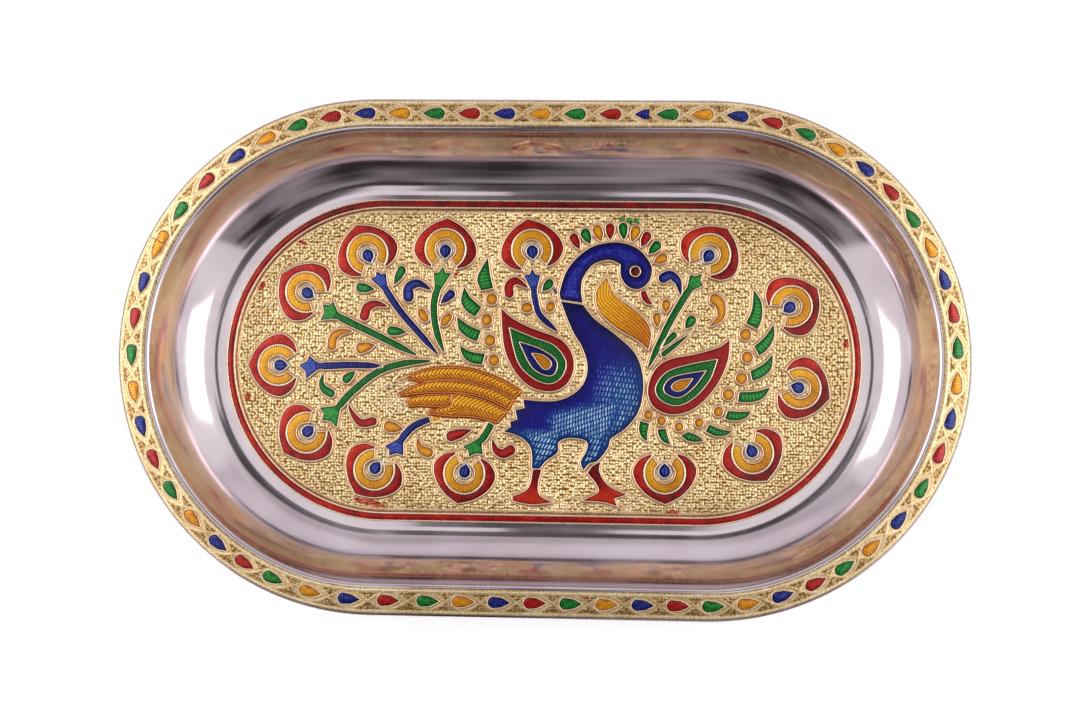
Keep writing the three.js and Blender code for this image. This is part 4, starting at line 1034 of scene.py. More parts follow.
def add_enamel(name, colour, outline, nodes=(), holes=(), pattern=plain, wall="gilt", pitch=FILL_PITCH):
    """A fill of its own, whose wall is built with the others."""
    vertices, triangles, values = enamel_mesh(outline, holes, pattern, pitch)
    add_piece(name, vertices, triangles, *SLOTS[colour], nodes, values)
    walls[wall].append(outline)


def placed(vertices, x, y, facing):
    """An eye feather's vertices, turned and moved to its place."""
    flat = turned(vertices[:, :2], facing) + fitted((x, y))
    return np.column_stack([flat, vertices[:, 2]])


def about_ring(at):
    """The angle and the radius about the middle of an eye feather's rings."""
    x, y = at[:, 0] - EYE_RING_CENTRE, at[:, 1]
    return np.arctan2(y, x), np.hypot(x, y)


def red_eye_pattern(at, edge):
    """Strokes that fan out from the ring, fading towards the tip."""
    stroke_count = 64
    angle, radius = about_ring(at)
    inner = 1 - smooth(radius, 8.2, 11)
    strokes = stripe(angle * stroke_count / (2 * np.pi) + 0.1 * np.sin(radius * 2))
    tip = smooth(at[:, 0], 4, 12)
    return 0.46 - 0.12 * tip + (0.1 + 0.24 * inner) * (strokes - 0.5) + 0.26 * (clouds(at, 2.4, 3) - 0.5)


def yellow_eye_pattern(at, edge):
    """Strokes all round, a little brighter away from the tip."""
    stroke_count = 50
    angle, _ = about_ring(at)
    strokes = stripe(angle * stroke_count / (2 * np.pi)) ** 0.7
    sides = smooth(np.abs(angle), 0.3, 1.5)
    return 0.12 + 0.08 * sides + 0.56 * strokes


def drop_pattern(at, edge):
    """Two painted highlights that streak along the drop."""
    glint = np.exp(-((at[:, 1] - 0.5) / 0.35) ** 2) + np.exp(-((at[:, 1] + 0.7) / 0.3) ** 2)
    return 0.4 + 0.3 * glint * smooth(edge, 0.5, 1.2)


def lit_from_left(vertices, x, y):
    """How far each place lies on a feather's upper left side, from about -1 to 1, for light painted there."""
    reach = 10
    upper_left = np.array([-0.8, 0.6])
    from_middle = vertices[:, :2] - fitted((x, y))
    return from_middle @ upper_left / reach


def make_eyes():
    painted_light_from_upper_left = 0.14
    red, yellow, drop = eye_outlines()
    drops = Gathered()
    fills = (("red", red, red_eye_pattern), ("yellow", yellow, yellow_eye_pattern))
    meshes = [(key, *enamel_mesh(outline, (), pattern, FINE_PITCH)) for key, outline, pattern in fills]
    drop_vertices, *drop_rest = enamel_mesh(drop, (), drop_pattern, FINE_PITCH)
    for name, x, y, facing in EYE_FEATHERS:
        for key, vertices, triangles, values in meshes:
            at = placed(vertices, x, y, facing)
            # Painted light: each feather's red and yellow are lighter on its upper left side.
            tone = values["tone"] + painted_light_from_upper_left * lit_from_left(at, x, y)
            add_piece(f"feather_{name}_{key}", at, triangles, *SLOTS[key], [f"eye_{name}_{key}"],
                      {"tone": tone})
        drops.add(placed(drop_vertices, x, y, facing), *drop_rest)
        for outline, wall in ((red, "gilt"), (yellow, "gilt"), (drop, "silver")):
            walls[wall].append(turned(outline, facing) + fitted((x, y)))
    drops.piece("feather_drops", *SLOTS["blue"])


def ladder(path, streaks):
    """Rungs across a stem, and a light streak along it near its head."""
    pitch, streak_width = 1.05, 0.9
    run = fitted(np.vstack([curve(path), path[-1:]]))

    def pattern(at, edge):
        length, side = along_path(at, run)
        rungs = 0.3 * (stripe(length / pitch) - 0.5) * smooth(edge, 0.1, 0.5)
        head = 1 - smooth(length, 2, 14)
        return 0.38 + rungs + streaks * head * stripe(side / streak_width + 0.3)
    return pattern


def make_stems():
    streaks = {"blue": 0.2, "green": 0.08}
    for name, colour, head, path, half_width, end_half_width in STEMS:
        outline = stem_outline(head, np.array(path, float), half_width, end_half_width)
        add_enamel(f"stem_of_{name}", colour, outline, [f"stem_{name}"],
                   pattern=ladder(path, streaks[colour]), pitch=FINE_PITCH)


# Rows of strokes: the rows' pitch, the strokes' pitch, how far they lean, and the seed
NECK_DASHES = (1.6, 1.1, 0.1, 41)
CHEST_DASHES = (2.06, 1.27, 0.12, 51)
BELLY_DASHES = (1.7, 1.15, 0.5, 52)
THIGH_DASHES = (2.3, 1.25, 0.45, 53)


def dashes(at, row_pitch, dash_pitch, lean, seed):
    """Short strokes in rows: how bright each place is, for rows that run along X before they lean."""
    half_length, half_width, soft = 0.42, 0.24, 0.12
    x, y = at.T
    row = np.floor(y / row_pitch)
    within = y / row_pitch - row - 0.5
    column = (x - lean * within * row_pitch) / dash_pitch + 0.5 * np.mod(row, 2) + 0.3 * hashed(row, 0, seed)
    cell = np.floor(column)
    across = np.abs(column - cell - 0.5)
    long = smooth(half_length - np.abs(within), 0.0, soft)
    thin = smooth(half_width - across, 0.0, soft)
    return long * thin * (0.45 + 0.55 * hashed(cell, row, seed + 1))


def neck_pattern(at, edge):
    """Dark and plain above, with short strokes where the neck meets the body."""
    y = at[:, 1]
    strokes = dashes(at, *NECK_DASHES)
    low = 1 - smooth(y, 24, 34)
    sweep = 0.08 * (stripe(edge / 0.9) - 0.5)
    tone = 0.16 + 0.34 * smooth(edge, 0.3, 2.6) + sweep + 0.4 * strokes * low * smooth(edge, 0.5, 1.4)
    return tone, 0 * low


def body_pattern(at, edge):
    """Dark above, with rows of short bright strokes on the chest, the belly and the thighs."""
    x, y = at.T
    chest = smooth(x, 15, 25) * smooth(-y, -5, 5)
    middle = smooth(x, 0, 8) * smooth(-y + 0.2 * x, 17, 23)
    low_edge = smooth(-y, 24, 28)
    lower = np.maximum(middle, low_edge) * (1 - smooth(x - 0.4 * y, 33, 38))
    upright = dashes(turned(at, 6), *CHEST_DASHES)
    slanted = dashes(turned(at, -20), *BELLY_DASHES)
    thigh = dashes(turned(at, 8), *THIGH_DASHES)
    on_thigh = smooth(-y, 26, 30)
    inner = smooth(edge, 0.5, 1.5)
    strokes = np.where(lower > 0.5, slanted * (1 - on_thigh) + thigh * on_thigh, upright)
    on_chest = chest * (1 - lower) * (0.5 + 0.2 * smooth(-y, 4, 20))
    weight = np.maximum(on_chest, lower * (0.8 + 0.2 * on_thigh))
    arcs = 0.12 * (stripe(y + 0.3 * x + 0.012 * x * x) - 0.5) * smooth(y, 4, 12)
    base = 0.14 + 0.16 * smooth(edge, 0.3, 5) + 0.1 * smooth(-y, -20, 2) - 0.06 * smooth(x, 18, 34)
    hue = 0.9 * np.maximum(smooth(x - 0.3 * y, 18, 36) * smooth(-y, -6, 12), lower)
    tone = base + arcs + 0.8 * strokes * weight * inner
    return tone, np.clip(hue + 0.5 * strokes * weight, 0, 1)


def plume_pattern(at, edge):
    """Lines along the chest plume, brightest near the head."""
    line_pitch = 1.05
    path = fitted(curve([(22.2, 30), (22.6, 24.2), (29, 18.2), (35.4, 13.6), (39.4, 8)]))
    length, side = along_path(at, path)
    lines = stripe(side / line_pitch + 0.1)
    bright = 1 - smooth(length, 4, 30)
    return 0.16 + 0.2 * bright + 0.58 * lines * (0.6 + 0.4 * bright)


def tail_pattern(upper, lower):
    """Slanting strokes on both sides of a plume's middle, darker below it."""
    middle_points = 24
    stroke_pitch = 1.5
    top, bottom = curve(upper), curve(lower)[::-1]
    share = np.linspace(0, 1, middle_points)
    index_top = (share * (len(top) - 1)).astype(int)
    index_bottom = (share * (len(bottom) - 1)).astype(int)
    middle = fitted((top[index_top] + bottom[index_bottom]) / 2)

    def pattern(at, edge):
        length, side = along_path(at, middle)
        above = side < 0
        lean = np.where(above, length - side * 0.9, length + side * 1.2)
        strokes = stripe(lean / stroke_pitch) ** 1.5
        return np.where(above, 0.28 + 0.72 * strokes, 0.14 + 0.56 * strokes)
    return pattern


def dark(at, edge):
    """An even dark tone."""
    return 0.16 + 0 * edge


def foot_pattern(at, edge):
    """Bright strokes on the toes."""
    low = smooth(-at[:, 1], 43, 50)
    return 0.22 + 0.42 * low + 0.14 * (stripe(at[:, 0] / 1.1) - 0.5) * low


def make_bird():
    eye = fitted(circle(*HEAD_EYE, HEAD_EYE_RADIUS))
    add_enamel("neck_and_head", "body", neck_outline(), ["peacock_neck_and_head"], [grown(eye, BAND_GAP)],
               neck_pattern)
    add_enamel("eye_of_the_bird", "red", eye, ["peacock_eye"], pattern=dark)
    add_enamel("beak", "red", beak_outline(), ["peacock_beak"])
    add_enamel("body", "body", body_outline(), ["peacock_body"], pattern=body_pattern, pitch=FINE_PITCH)
    for side, outline in zip(("left", "right"), foot_outlines()):
        add_enamel(f"{side}_foot", "red", outline, [f"peacock_{side}_foot"], pattern=foot_pattern)
    plume = fitted(closed(curve(PLUME_EDGE), curve(PLUME_BACK)))
    add_enamel("plume_of_the_chest", "amber", plume, ["chest_plume"], pattern=plume_pattern, pitch=FINE_PITCH)
    for i, (upper, lower) in enumerate(TAIL_PLUMES):
        outline = fitted(closed(curve(upper), curve(lower), line([lower[-1], upper[0]])))
        add_enamel(f"plume_{i + 1}", "amber", outline, [f"tail_plume_{i + 1}"],
                   pattern=tail_pattern(upper, lower), wall="copper", pitch=FINE_PITCH)


def beaded(outline, pitch, depth):
    """Beads that follow a ring's outer edge."""
    loop = np.vstack([outline, outline[:1]])

    def pattern(at, edge):
        length, _ = along_path(at, loop)
        return 0.38 + depth * (stripe(length / pitch) - 0.5) * smooth(edge, 0.2, 0.8)
    return pattern


def make_wings():
    bead_pitch = 1.1
    depths = {"red": 0.16, "green": 0.4, "blue": 0.08, "orange": 0.3}
    for side, wing in (("left", LEFT_WING), ("right", RIGHT_WING)):
        outlines = {key: fitted(closed(curve(points))) for key, points in wing.items()}
        keys = list(outlines)
        for key, inner in zip(keys, [*keys[1:], None]):
            holes = [grown(outlines[inner], BAND_GAP)] if inner else []
            add_enamel(f"{side}_wing_{key}_band", key, outlines[key], [f"{side}_wing_{key}"], holes,
                       beaded(outlines[key], bead_pitch, depths[key]), pitch=FINE_PITCH)


# Strokes across the small cells: their pitch and how much brighter they are
DROP_STROKES = (1.1, 0.14)
LEAF_STROKES = (1.3, 0.24)


def hatched(start, end, pitch, depth):
    """Light strokes across a small cell, along the line from one place to another."""
    run = np.asarray(end, float) - np.asarray(start, float)
    size = math.hypot(*run)

    def pattern(at, edge):
        length = (at - start) @ run / size
        strokes = depth * (stripe(length / pitch) - 0.5) * smooth(edge, 0.15, 0.6)
        # Brighter away from the walls: painted shade near them.
        return 0.34 + 0.22 * smooth(edge, 0.4, 1.4) + strokes
    return pattern


def make_small_cells():
    """The cells whose gilt relief belongs to the panel, gathered by kind and colour."""
    groups = {}

    def gather(group, colour, outline, pattern=plain):
        key = f"{group}_{colour}"
        if key not in groups:
            groups[key] = (Gathered(), colour)
        groups[key][0].add(*enamel_mesh(outline, (), pattern, FINE_PITCH))
        walls["gilt"].append(outline)

    for i, (colour, tip, middle, radius) in enumerate(DROPS):
        group = "crest" if i < CREST_COUNT else "drops"
        pattern = hatched(fitted(tip), fitted(middle), *DROP_STROKES)
        gather(group, colour, fitted(drop_outline(tip, middle, radius)), pattern)
    for leaf in FLAME_LEAVES:
        pattern = hatched(fitted(leaf[0]), fitted(leaf[4]), *LEAF_STROKES)
        gather("flame_leaves", "green", leaf_outline(*leaf), pattern)
    for x, y, radius in DOTS:
        gather("dots", "orange", fitted(circle(x, y, radius)))
    for seed in SEEDS:
        gather("seeds", "orange", fitted(oval_patch(*seed)))
    for colour, spine, half_width in COMMAS:
        gather("commas", colour, comma_outline(spine, half_width))
    for key, (gathered, colour) in groups.items():
        gathered.piece(key, *SLOTS[colour])


# The gilt panel

def stadium_radius(at):
    """How far each place is from the oval's middle line."""
    return np.hypot(np.maximum(np.abs(at[:, 0]) - STRAIGHT_HALF, 0), at[:, 1])


def margin_distance(at):
    """How far each place of the ground is from the nearest cell, where that is near."""
    reach = 3
    best = np.full(len(at), float(reach))
    for outline in (*walls["gilt"], *walls["copper"], *walls["silver"]):
        low, high = outline.min(0) - reach, outline.max(0) + reach
        near = np.flatnonzero(((at > low) & (at < high)).all(1))
        best[near] = np.minimum(best[near], distance_to(at[near], outline))
    return best


def ground_relief(at):
    """The ground's height and brightness: smooth beside the cells, then a faint bead, then grains."""
    first_grains, full_grains = 0.8, 1.8
    grain_height, uneven_height, base_height = 0.28, 0.14, 0.02
    bead_place, bead_width, bead_height = 1.25, 0.22, 0.12
    margin = np.minimum(margin_distance(at), FIELD_RADIUS - stadium_radius(at))
    rough = smooth(margin, first_grains, full_grains)
    near, value = grain(at, GRAIN_PITCH, 21)
    dome = np.clip(1 - (near / GRAIN_RADIUS) ** 2, 0, 1)
    bead = np.exp(-((margin - bead_place) / bead_width) ** 2)
    grains = base_height + (grain_height + uneven_height * value) * dome
    height = GROUND_TOP + rough * grains + bead_height * bead
    grain_tone = 0.2 + (0.46 + 0.36 * value) * smooth(dome, 0.0, 0.75)
    # The faint bead's brighter tone is a painted highlight.
    tone = 0.5 * (1 - rough) + grain_tone * rough + 0.22 * bead * (1 - rough)
    return height, tone


def make_ground():
    """The stippled ground, in blocks from left to right, with closer rows near its long edges."""
    rows, columns, parts = 430, 852, 6
    under_border = 0.3
    even, bent = 0.8, 0.2
    share = np.linspace(-1, 1, rows)
    reach = FIELD_RADIUS - under_border
    y = reach * (even * share + bent * np.sin(share * np.pi / 2))
    half = STRAIGHT_HALF + np.sqrt(np.maximum(reach ** 2 - y ** 2, 0))
    x = np.linspace(-1, 1, columns + 1)[None, :] * half[:, None]
    at = np.column_stack([x.ravel(), np.repeat(y, columns + 1)])
    height, tone = ground_relief(at)
    vertices = np.column_stack([at, height]).reshape(rows, columns + 1, 3)
    tone = tone.reshape(rows, columns + 1)
    wide = columns // parts
    for i in range(parts):
        part = slice(i * wide, (i + 1) * wide + 1)
        block = vertices[:, part].reshape(-1, 3)
        faces = facing_up(block, grid_faces(rows, wide + 1))
        add_piece(f"panel_ground_{i + 1}", block, faces, ground_gilt, "gilt_foil", ["panel_foil"],
                  {"tone": tone[:, part].ravel()})


def make_smudges():
    """Thin spills of enamel that follow the ground's relief."""
    thickness = 0.05
    frayed_pitch, frayed_depth = 0.9, 0.7
    groups = {}
    for colour, *oval in SMUDGES:
        outline = fitted(oval_patch(*oval))
        frayed = clouds(outline, frayed_pitch, 61)[:, None] - 0.5
        outline += miters(outline) * frayed * frayed_depth
        at, triangles = filled(outline, (), FINE_PITCH)
        height, tone = ground_relief(at)
        vertices = np.column_stack([at, height + thickness])
        group = groups.setdefault(colour, Gathered())
        group.add(vertices, facing_up(vertices, triangles), {"tone": 0.2 + 0.5 * tone})
    for colour, group in groups.items():
        group.piece(f"smudges_{colour}", *SLOTS[colour])


def make_border():
    """The panel's edge: two beads with the red line between them, and a faint bead inside.

    Each place of the section has a radius, a height and a brightness: a painted highlight on the beads'
    crests and painted shade at their feet.
    """
    groove = 1.5
    bead_steps, line_steps = (180, 80), (260, 120)
    cloud_pitch = 3
    section = np.array([
        (FIELD_RADIUS - 1.5, 1.1, 0.4), (FIELD_RADIUS - 1.2, 1.3, 0.6), (FIELD_RADIUS - 0.95, 1.38, 0.7),
        (FIELD_RADIUS - 0.7, 1.28, 0.3), (FIELD_RADIUS - 0.3, 1.36, 0.2), (FIELD_RADIUS - 0.1, 1.7, 0.3),
        (FIELD_RADIUS + 0.08, 2.0, 0.8), (FIELD_RADIUS + 0.3, 2.08, 1), (FIELD_RADIUS + 0.55, 2.0, 0.6),
        (BORDER_INNER, groove, 0.1), (BORDER_OUTER, groove, 0.1), (BORDER_OUTER + 0.12, 2.0, 0.7),
        (BORDER_OUTER + 0.3, 2.08, 1), (BORDER_OUTER + 0.5, 2.0, 0.7), (PANEL_RADIUS - 0.08, 1.7, 0.4),
        (PANEL_RADIUS, 1.3, 0.2), (PANEL_RADIUS, PANEL_BOTTOM, 0.2),
    ])
    stations = oval_stations(*bead_steps)
    vertices, faces = swept_oval(section, stations)
    add_piece("panel_border", vertices, facing_up(vertices, faces), wall_gilt, "gilt_foil", ["panel_foil"],
              {"tone": np.tile(section[:, 2], len(stations[0]))})
    line_section = np.array([
        (BORDER_INNER - 0.1, 1.74), (BORDER_INNER + 0.3, 1.9), (BORDER_INNER + 1, 1.96),
        (BORDER_OUTER - 0.3, 1.9), (BORDER_OUTER, 1.76)])
    vertices, faces = swept_oval(line_section, oval_stations(*line_steps))
    # Painted shade: the red line is darker along the far side.
    tone = 0.42 - 0.18 * smooth(vertices[:, 1], 20, 58)
    tone += 0.3 * (clouds(vertices[:, :2], cloud_pitch, 7) - 0.5)
    add_piece("border_line", vertices, facing_up(vertices, faces), *SLOTS["red"], ["border_enamel"],
              {"tone": tone})


def make_walls():
    """The walls round the cells, in pieces of limited size, and the bare threads."""
    most_vertices = 60000
    metals = {"gilt": wall_gilt, "copper": wall_copper, "silver": wall_silver}
    for metal, outlines in walls.items():
        groups = [Gathered()]
        for outline in outlines:
            if groups[-1].count > most_vertices:
                groups.append(Gathered())
            groups[-1].add(*ridge(outline, WALL_SECTION))
        for i, group in enumerate(groups):
            group.piece(f"cell_walls_{metal}_{i + 1}", metals[metal], "gilt_foil", ["panel_foil"])
    threads = Gathered()
    for path in THREADS:
        threads.add(*ridge(fitted(np.vstack([curve(path), path[-1:]])), THREAD_SECTION, wrap=False))
    threads.piece("gold_threads", wall_gilt, "gilt_foil")


# The rim's bands

RIM_TURN = math.pi * RIM_MIDDLE
RIM_LENGTH = 2 * RIM_TURN + 4 * STRAIGHT_HALF
TOP_SEAM_PLACE = RIM_TURN + STRAIGHT_HALF - TOP_SEAM
LEFT_SEAM_PLACE = RIM_TURN + 2 * STRAIGHT_HALF + math.radians(LEFT_SEAM_ANGLE - UP) * RIM_MIDDLE
BAND_MARGIN = 0.3
BAND_GRAIN_PITCH = 1.2
DROP_MIDDLE = RIM_MIDDLE - 0.2
ROPE = 0.55
DROP_LONG = 7.8
DROP_ROUND = 1.95
RIM_WALL_HEIGHT = 0.3

# How far the drops stray from even places: the drop's number and its shift
LONG_STRAYS = [(0, -3), (4, -1), (9, -0.5), (11, -2.5), (15, 3), (21, 3), (26, 1.5), (28, -0.5), (31, 2.5),
               (35, 2), (42, -2), (46, -3.5)]
SHORT_STRAYS = [(0, 0.2), (6, 0), (12, -1), (14, 2)]

LONG_COLOURS = (
    "yellow blue red green " * 2 + "orange blue red green " * 5 + "orange blue "
    + "green red blue yellow " * 4 + "green").split()
SHORT_COLOURS = ("blue red green yellow " * 4).split()

# Each band: its name, start and length, its first drop's place, and the drops' pitch, strays and colours
BANDS = [
    ("long", LEFT_SEAM_PLACE, TOP_SEAM_PLACE + RIM_LENGTH - LEFT_SEAM_PLACE, 5.8, 12.457,
     LONG_STRAYS, LONG_COLOURS),
    ("short", TOP_SEAM_PLACE, LEFT_SEAM_PLACE - TOP_SEAM_PLACE, 1.1, 12.341,
     SHORT_STRAYS, SHORT_COLOURS),
]


def oval_at(s):
    """Centre on the long axis and outward direction at a length along the rim's middle line."""
    s = np.mod(s, RIM_LENGTH)
    top = RIM_TURN + 2 * STRAIGHT_HALF
    left = top + RIM_TURN
    parts = [s < RIM_TURN, s < top, s < left]
    quarter = math.pi / 2
    angle = np.select(
        parts, [s / RIM_MIDDLE - quarter, quarter + 0 * s, (s - top) / RIM_MIDDLE + quarter], 3 * quarter)
    centre = np.select(
        parts, [STRAIGHT_HALF + 0 * s, STRAIGHT_HALF - (s - RIM_TURN), -STRAIGHT_HALF + 0 * s],
        s - left - STRAIGHT_HALF)
    return centre, np.cos(angle), np.sin(angle)


def on_rim(rim, at, height):
    """Places on the rim from a length along it, a radius and a height above the steel."""
    centre, x, y = oval_at(at[:, 0])
    radius = at[:, 1]
    z = np.interp(radius, rim[:, 0], rim[:, 1])
    heading = np.radians(np.interp(radius, rim[:, 0], rim[:, 2]))
    out = radius - height * np.sin(heading)
    return np.column_stack([centre + out * x, out * y, z + height * np.cos(heading)])


def band_relief(at, start, low, high, places):
    """Height of a band's relief over its foil, and how bright it is, with painted highlights on the vine and
    the ropes.
    """
    weave_reach, leaf_slimness, vine_width, vine_height = 3.1, 1.75, 0.28, 0.16
    grain_height, base_height = 0.22, 0.06
    line_pitch, twist_pitch, rope_height, rope_inset = 0.85, 1.5, 0.34, 0.25
    s, r = at.T
    pitch = (places[-1] - places[0]) / (len(places) - 1)
    near, value = grain(at, BAND_GRAIN_PITCH, 31)
    dome = np.clip(1 - (near / GRAIN_RADIUS) ** 2, 0, 1)
    ends = [places[0] - pitch, *places, places[-1] + pitch]
    phase = np.interp(s - start, ends, np.arange(-1, len(places) + 1))
    weave = weave_reach * np.cos(np.pi * phase)
    vine = np.minimum(np.abs(r - DROP_MIDDLE - weave), np.abs(r - DROP_MIDDLE + weave))
    on_vine = np.exp(-(vine / vine_width) ** 2)
    offset = phase - np.round(phase)
    clear = smooth(np.hypot(offset * pitch / leaf_slimness, r - DROP_MIDDLE), 2.6, 3.4)
    rough = clear * smooth(vine, 0.2, 0.6)
    relief = rough * (base_height + grain_height * value * dome) + vine_height * on_vine
    lines = 0.26 * (stripe(r / line_pitch) - 0.5) * clear
    # Darker between the grains where the foil is rough; brighter on the vine as a painted highlight.
    tone = 0.56 - 0.4 * rough * (1 - dome) + lines + 0.14 * on_vine
    for edge in (low + ROPE + rope_inset, high - ROPE - rope_inset):
        side = (r - edge) / ROPE
        round_part = np.sqrt(np.clip(1 - side ** 2, 0, 1))
        twist = 0.65 + 0.35 * stripe((s + 0.9 * side) / twist_pitch)
        on_rope = np.abs(side) < 1
        relief = np.where(on_rope, rope_height * round_part * twist, relief)
        # Painted highlight and shade: each rope is brightest along its crest and on its twists.
        tone = np.where(on_rope, 0.75 * twist + 0.3 * round_part - 0.15, tone)
    return relief, tone


def make_band(rim, name, start, length, first, pitch, strays, colours):
    """One band with its hem down to the steel, and its drops."""
    columns = 36
    hem_height = 0.03
    low = rim[0, 0] + BAND_MARGIN
    high = rim[-1, 0] - BAND_MARGIN
    number = np.arange(len(colours))
    places = first + pitch * number + np.interp(number, *zip(*strays))
    rows = int(length / CURVE_STEP)
    s = start + np.linspace(0, length, rows)
    r = np.linspace(low, high, columns)
    at = np.column_stack([np.repeat(s, columns), np.tile(r, rows)])
    relief, tone = band_relief(at, start, low, high, places)
    vertices = on_rim(rim, at, BAND_THICKNESS + relief).reshape(rows, columns, 3)
    hem = on_rim(rim, at, np.full(len(at), hem_height)).reshape(rows, columns, 3)
    vertices = np.concatenate([hem[:, :1], vertices, hem[:, -1:]], 1)
    tone = tone.reshape(rows, columns)
    tone = np.concatenate([tone[:, :1], tone, tone[:, -1:]], 1)
    ends = np.stack([vertices[0], vertices[-1]])
    ends[0, 1:-1] = hem[0]
    ends[1, 1:-1] = hem[-1]
    vertices = np.concatenate([ends[:1], vertices, ends[1:]]).reshape(-1, 3)
    tone = np.concatenate([tone[:1], tone, tone[-1:]]).ravel()
    faces = facing_up(vertices, grid_faces(rows + 2, columns + 2))
    add_piece(f"rim_band_{name}", vertices, faces, band_gilt, "gilt_foil", [f"rim_foil_{name}"],
              {"tone": tone})
    add_rim_drops(rim, name, start, length, places, colours)


def add_rim_drops(rim, name, start, length, places, colours):
    """A band's drops with their walls, cut off at the band's ends."""
    half = DROP_LONG / 2
    edge_height, dome_height, sway_height, dome_width = 0.12, 0.2, 0.05, 0.7
    wall_slimness = 0.7
    outline = drop_outline((half, 0), (DROP_ROUND - half, 0), DROP_ROUND)
    fill, triangles = filled(outline, (), FINE_PITCH)
    edge = distance_to(fill, outline)
    sway = sway_height * (clouds(fill, 1.8, 9) - 0.5)
    dome = edge_height + dome_height * (1 - np.exp(-edge / dome_width)) + sway
    ribs = stripe(fill[:, 0] + 0.4 * np.abs(fill[:, 1]))
    tone = 0.44 + 0.24 * (ribs - 0.5) + 0.3 * (clouds(fill, 1.3, 4) - 0.5)
    # Painted shade: each drop is darker towards its wall.
    tone = (0.25 + 0.75 * smooth(edge, 0, 0.6)) * tone
    # The drops' walls keep the cell walls' painted shade and highlight.
    wall_section = WALL_SECTION * (wall_slimness, 1, 1) - (0, WALL_TOP - RIM_WALL_HEIGHT, 0)
    wall_at, wall_faces, wall_values = ridge(outline, wall_section)
    groups = {}
    wall_group = Gathered()
    for place, colour in zip(places, colours):
        shift = np.array([start + place, DROP_MIDDLE])
        at = fill + shift
        kept = triangles[within_band(at, start, length)[triangles].all(1)]
        wall_place = wall_at[:, :2] + shift
        wall_kept = wall_faces[within_band(wall_place, start, length)[wall_faces].all(1)]
        vertices = on_rim(rim, at, BAND_THICKNESS + dome)
        group = groups.setdefault(colour, Gathered())
        group.add(vertices, facing_up(vertices, kept), {"tone": tone})
        wall_vertices = on_rim(rim, wall_place, BAND_THICKNESS + wall_at[:, 2])
        wall_group.add(wall_vertices, facing_up(wall_vertices, wall_kept), wall_values)
    for colour, group in groups.items():
        group.piece(f"rim_drops_{name}_{colour}", *SLOTS[colour])
    wall_group.piece(f"rim_drop_walls_{name}", wall_gilt, "gilt_foil")


def within_band(at, start, length):
    """Which places lie between a band's ends."""
    return (at[:, 0] > start) & (at[:, 0] < start + length)


# The camera, the floor and the light

CAMERA_LENS = 25.25
CAMERA_SENSOR = 36
CAMERA_NEAREST = 0.01
CAMERA_HEIGHT_OVER_RIM = 261.5
CAMERA_BASE = (5.1, -0.82, 283)
CAMERA_MOVED = (4, -17)
CAMERA_TILT = (0.371, 1.331, 0.786)

# Lamps: name, place, size, power, and whether the metal mirrors them
LAMPS = [
    ("lamp_left", (-640, 160, 540), (640, 520), 2.25, True),
    ("lamp_right", (660, 60, 500), (560, 520), 2.1, True),
    ("lamp_far", (60, 640, 640), (1100, 420), 1.7, False),
]

# Cards: name, the half width, Y and height of both level edges, the dark grey's level and warmth, the
# light grey's level, and the size of the clouds
CARDS = [
    ("front_card", (700, -620, 0), (500, -620, 1500), 0.03, 1.1, 0.34, 430),
    ("far_card", (620, 700, 0), (620, 700, 1300), 0.58, 1, 0.84, 700),
    ("top_near_card", (300, -620, 1300), (300, -80, 1300), 0.1, 1, 0.3, 500),
    ("top_card", (110, -80, 1300), (110, 260, 1300), 0.14, 1, 0.34, 500),
    ("top_far_card", (400, 260, 1300), (400, 700, 1300), 0.08, 1, 0.26, 500),
]

WHITE = (1, 1, 1, 1)
BLACK = (0, 0, 0, 1)
MATT = 0.9
GREEN_IN_GREY = 0.96
WORLD_COLOUR = (0.9, 0.9, 0.92, 1)
WORLD_LIGHT = 0.5
FLOOR_HALF = 3000
FLOOR_COLOUR = (0.9, 0.9, 0.9, 1)

# The floor's own glow: two distances from its middle in metres, and the glow at each
FLOOR_GLOW = (0.3, 0.9, 0.45, 1.0)


def make_camera():
    """A camera moved sideways over the tray, with its view shifted back."""
    data = bpy.data.cameras.new("camera")
    data.lens = CAMERA_LENS
    data.sensor_width = CAMERA_SENSOR
    data.clip_start = CAMERA_NEAREST
    data.shift_x, data.shift_y = (
        -moved / CAMERA_HEIGHT_OVER_RIM * CAMERA_LENS / CAMERA_SENSOR for moved in CAMERA_MOVED)
    camera = added("camera", data)
    camera.location = (Vector(CAMERA_BASE) + Vector((*CAMERA_MOVED, 0))) * MM
    camera.rotation_euler = [math.radians(angle) for angle in CAMERA_TILT]
    bpy.context.scene.camera = camera


def card_material(name, dark, light, size_mm):
    """A softly clouded surface that gives off its own even light."""
    shader = Shader(name, MATT, 0)
    shader.set(Base_Color=BLACK, Specular_IOR_Level=0, Emission_Strength=1)
    shader.feed(Emission_Color=shader.ramp(shader.noise(size_mm, 1.5), (0.42, dark), (0.62, light)))
    return shader.material


def stage_plane(name, near, far, material):
    """A plane between two level edges, each given by its half width, Y and height."""
    corners = []
    for (half, y, z), sides in ((near, (-1, 1)), (far, (1, -1))):
        corners += [(side * half * MM, y * MM, z * MM) for side in sides]
    mesh = bpy.data.meshes.new(name)
    mesh.from_pydata(corners, [], [(0, 1, 2, 3)])
    mesh.materials.append(material)
    plane = added(name, mesh)
    return plane


def make_card(name, near, far, dark_level, warmth, light_level, size_mm):
    """A card that only the metal's reflections see."""
    material = card_material(name, grey(dark_level, warmth), grey(light_level), size_mm)
    card = stage_plane(name, near, far, material)
    card.visible_camera = False
    card.visible_diffuse = False
    card.visible_shadow = False


def seen_ray(nodes):
    """1 for camera, glossy and transmission rays."""
    path = nodes.node("ShaderNodeLightPath")
    total = path.outputs["Is Camera Ray"]
    for key in ("Is Glossy Ray", "Is Transmission Ray"):
        total = nodes.math("ADD", total, path.outputs[key], clamped=True)
    return total


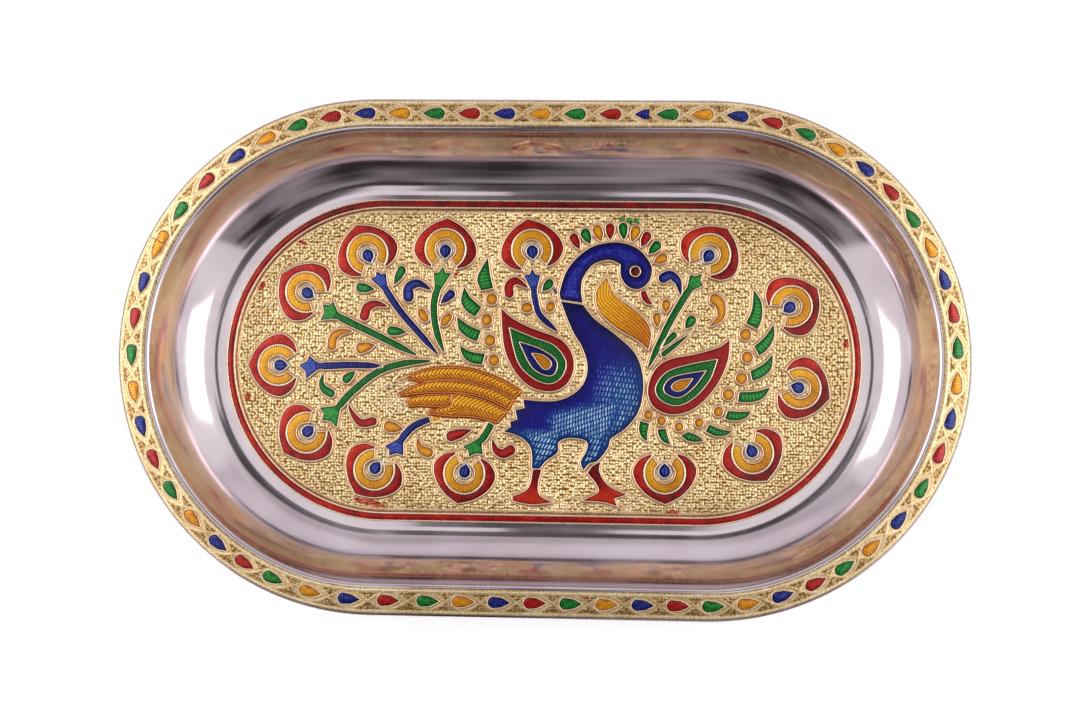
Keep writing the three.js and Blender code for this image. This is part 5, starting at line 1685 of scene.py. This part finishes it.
def make_world():
    """A soft light from all sides, that cameras and mirrors see as white."""
    world = bpy.data.worlds.new("studio")
    bpy.context.scene.world = world
    world.use_nodes = True
    world.node_tree.nodes.clear()
    nodes = Nodes(world.node_tree)
    sources = [seen_ray(nodes)]
    for colour, strength in ((WORLD_COLOUR, WORLD_LIGHT), (WHITE, 1)):
        light = nodes.node("ShaderNodeBackground")
        light.inputs["Color"].default_value = colour
        light.inputs["Strength"].default_value = strength
        sources.append(light.outputs[0])
    mix = nodes.node("ShaderNodeMixShader")
    for source, socket in zip(sources, mix.inputs):
        nodes.link(source, socket)
    nodes.link(mix.outputs[0], nodes.node("ShaderNodeOutputWorld").inputs["Surface"])


def make_floor():
    """A white floor whose glow only cameras and mirrors see."""
    shader = Shader("white_floor", MATT, 0)
    shader.set(Base_Color=FLOOR_COLOUR, Emission_Color=WHITE)
    away = shader.node("ShaderNodeVectorMath", operation="LENGTH")
    shader.link(shader.place, away.inputs[0])
    level = shader.range(away.outputs["Value"], *FLOOR_GLOW)
    shader.feed(Emission_Strength=shader.math("MULTIPLY", seen_ray(shader), level))
    stage_plane("floor", (FLOOR_HALF, -FLOOR_HALF, 0), (FLOOR_HALF, FLOOR_HALF, 0), shader.material)


def make_lamp(name, place, size, power, mirrored):
    """A rectangular lamp that faces the tray."""
    data = bpy.data.lights.new(name, "AREA")
    data.shape = "RECTANGLE"
    data.size = size[0] * MM
    data.size_y = size[1] * MM
    data.energy = power
    lamp = added(name, data)
    lamp.location = Vector(place) * MM
    lamp.rotation_euler = (-Vector(place)).to_track_quat("-Z", "Y").to_euler()
    lamp.visible_glossy = mirrored


def grey(level, warmth=1.0):
    """A grey with a little less green, as a shader takes it."""
    return (level * warmth, level * GREEN_IN_GREY, level, 1)


def make_light():
    make_world()
    for lamp in LAMPS:
        make_lamp(*lamp)
    for card in CARDS:
        make_card(*card)


pan_section, rim_section = pan_places()
make_pan(pan_section)
make_eyes()
make_stems()
make_bird()
make_wings()
make_small_cells()
make_walls()
make_ground()
make_smudges()
make_border()
for band in BANDS:
    make_band(rim_section, *band)
make_camera()
make_floor()
make_light()
bpy.context.scene.view_settings.view_transform = "Standard"
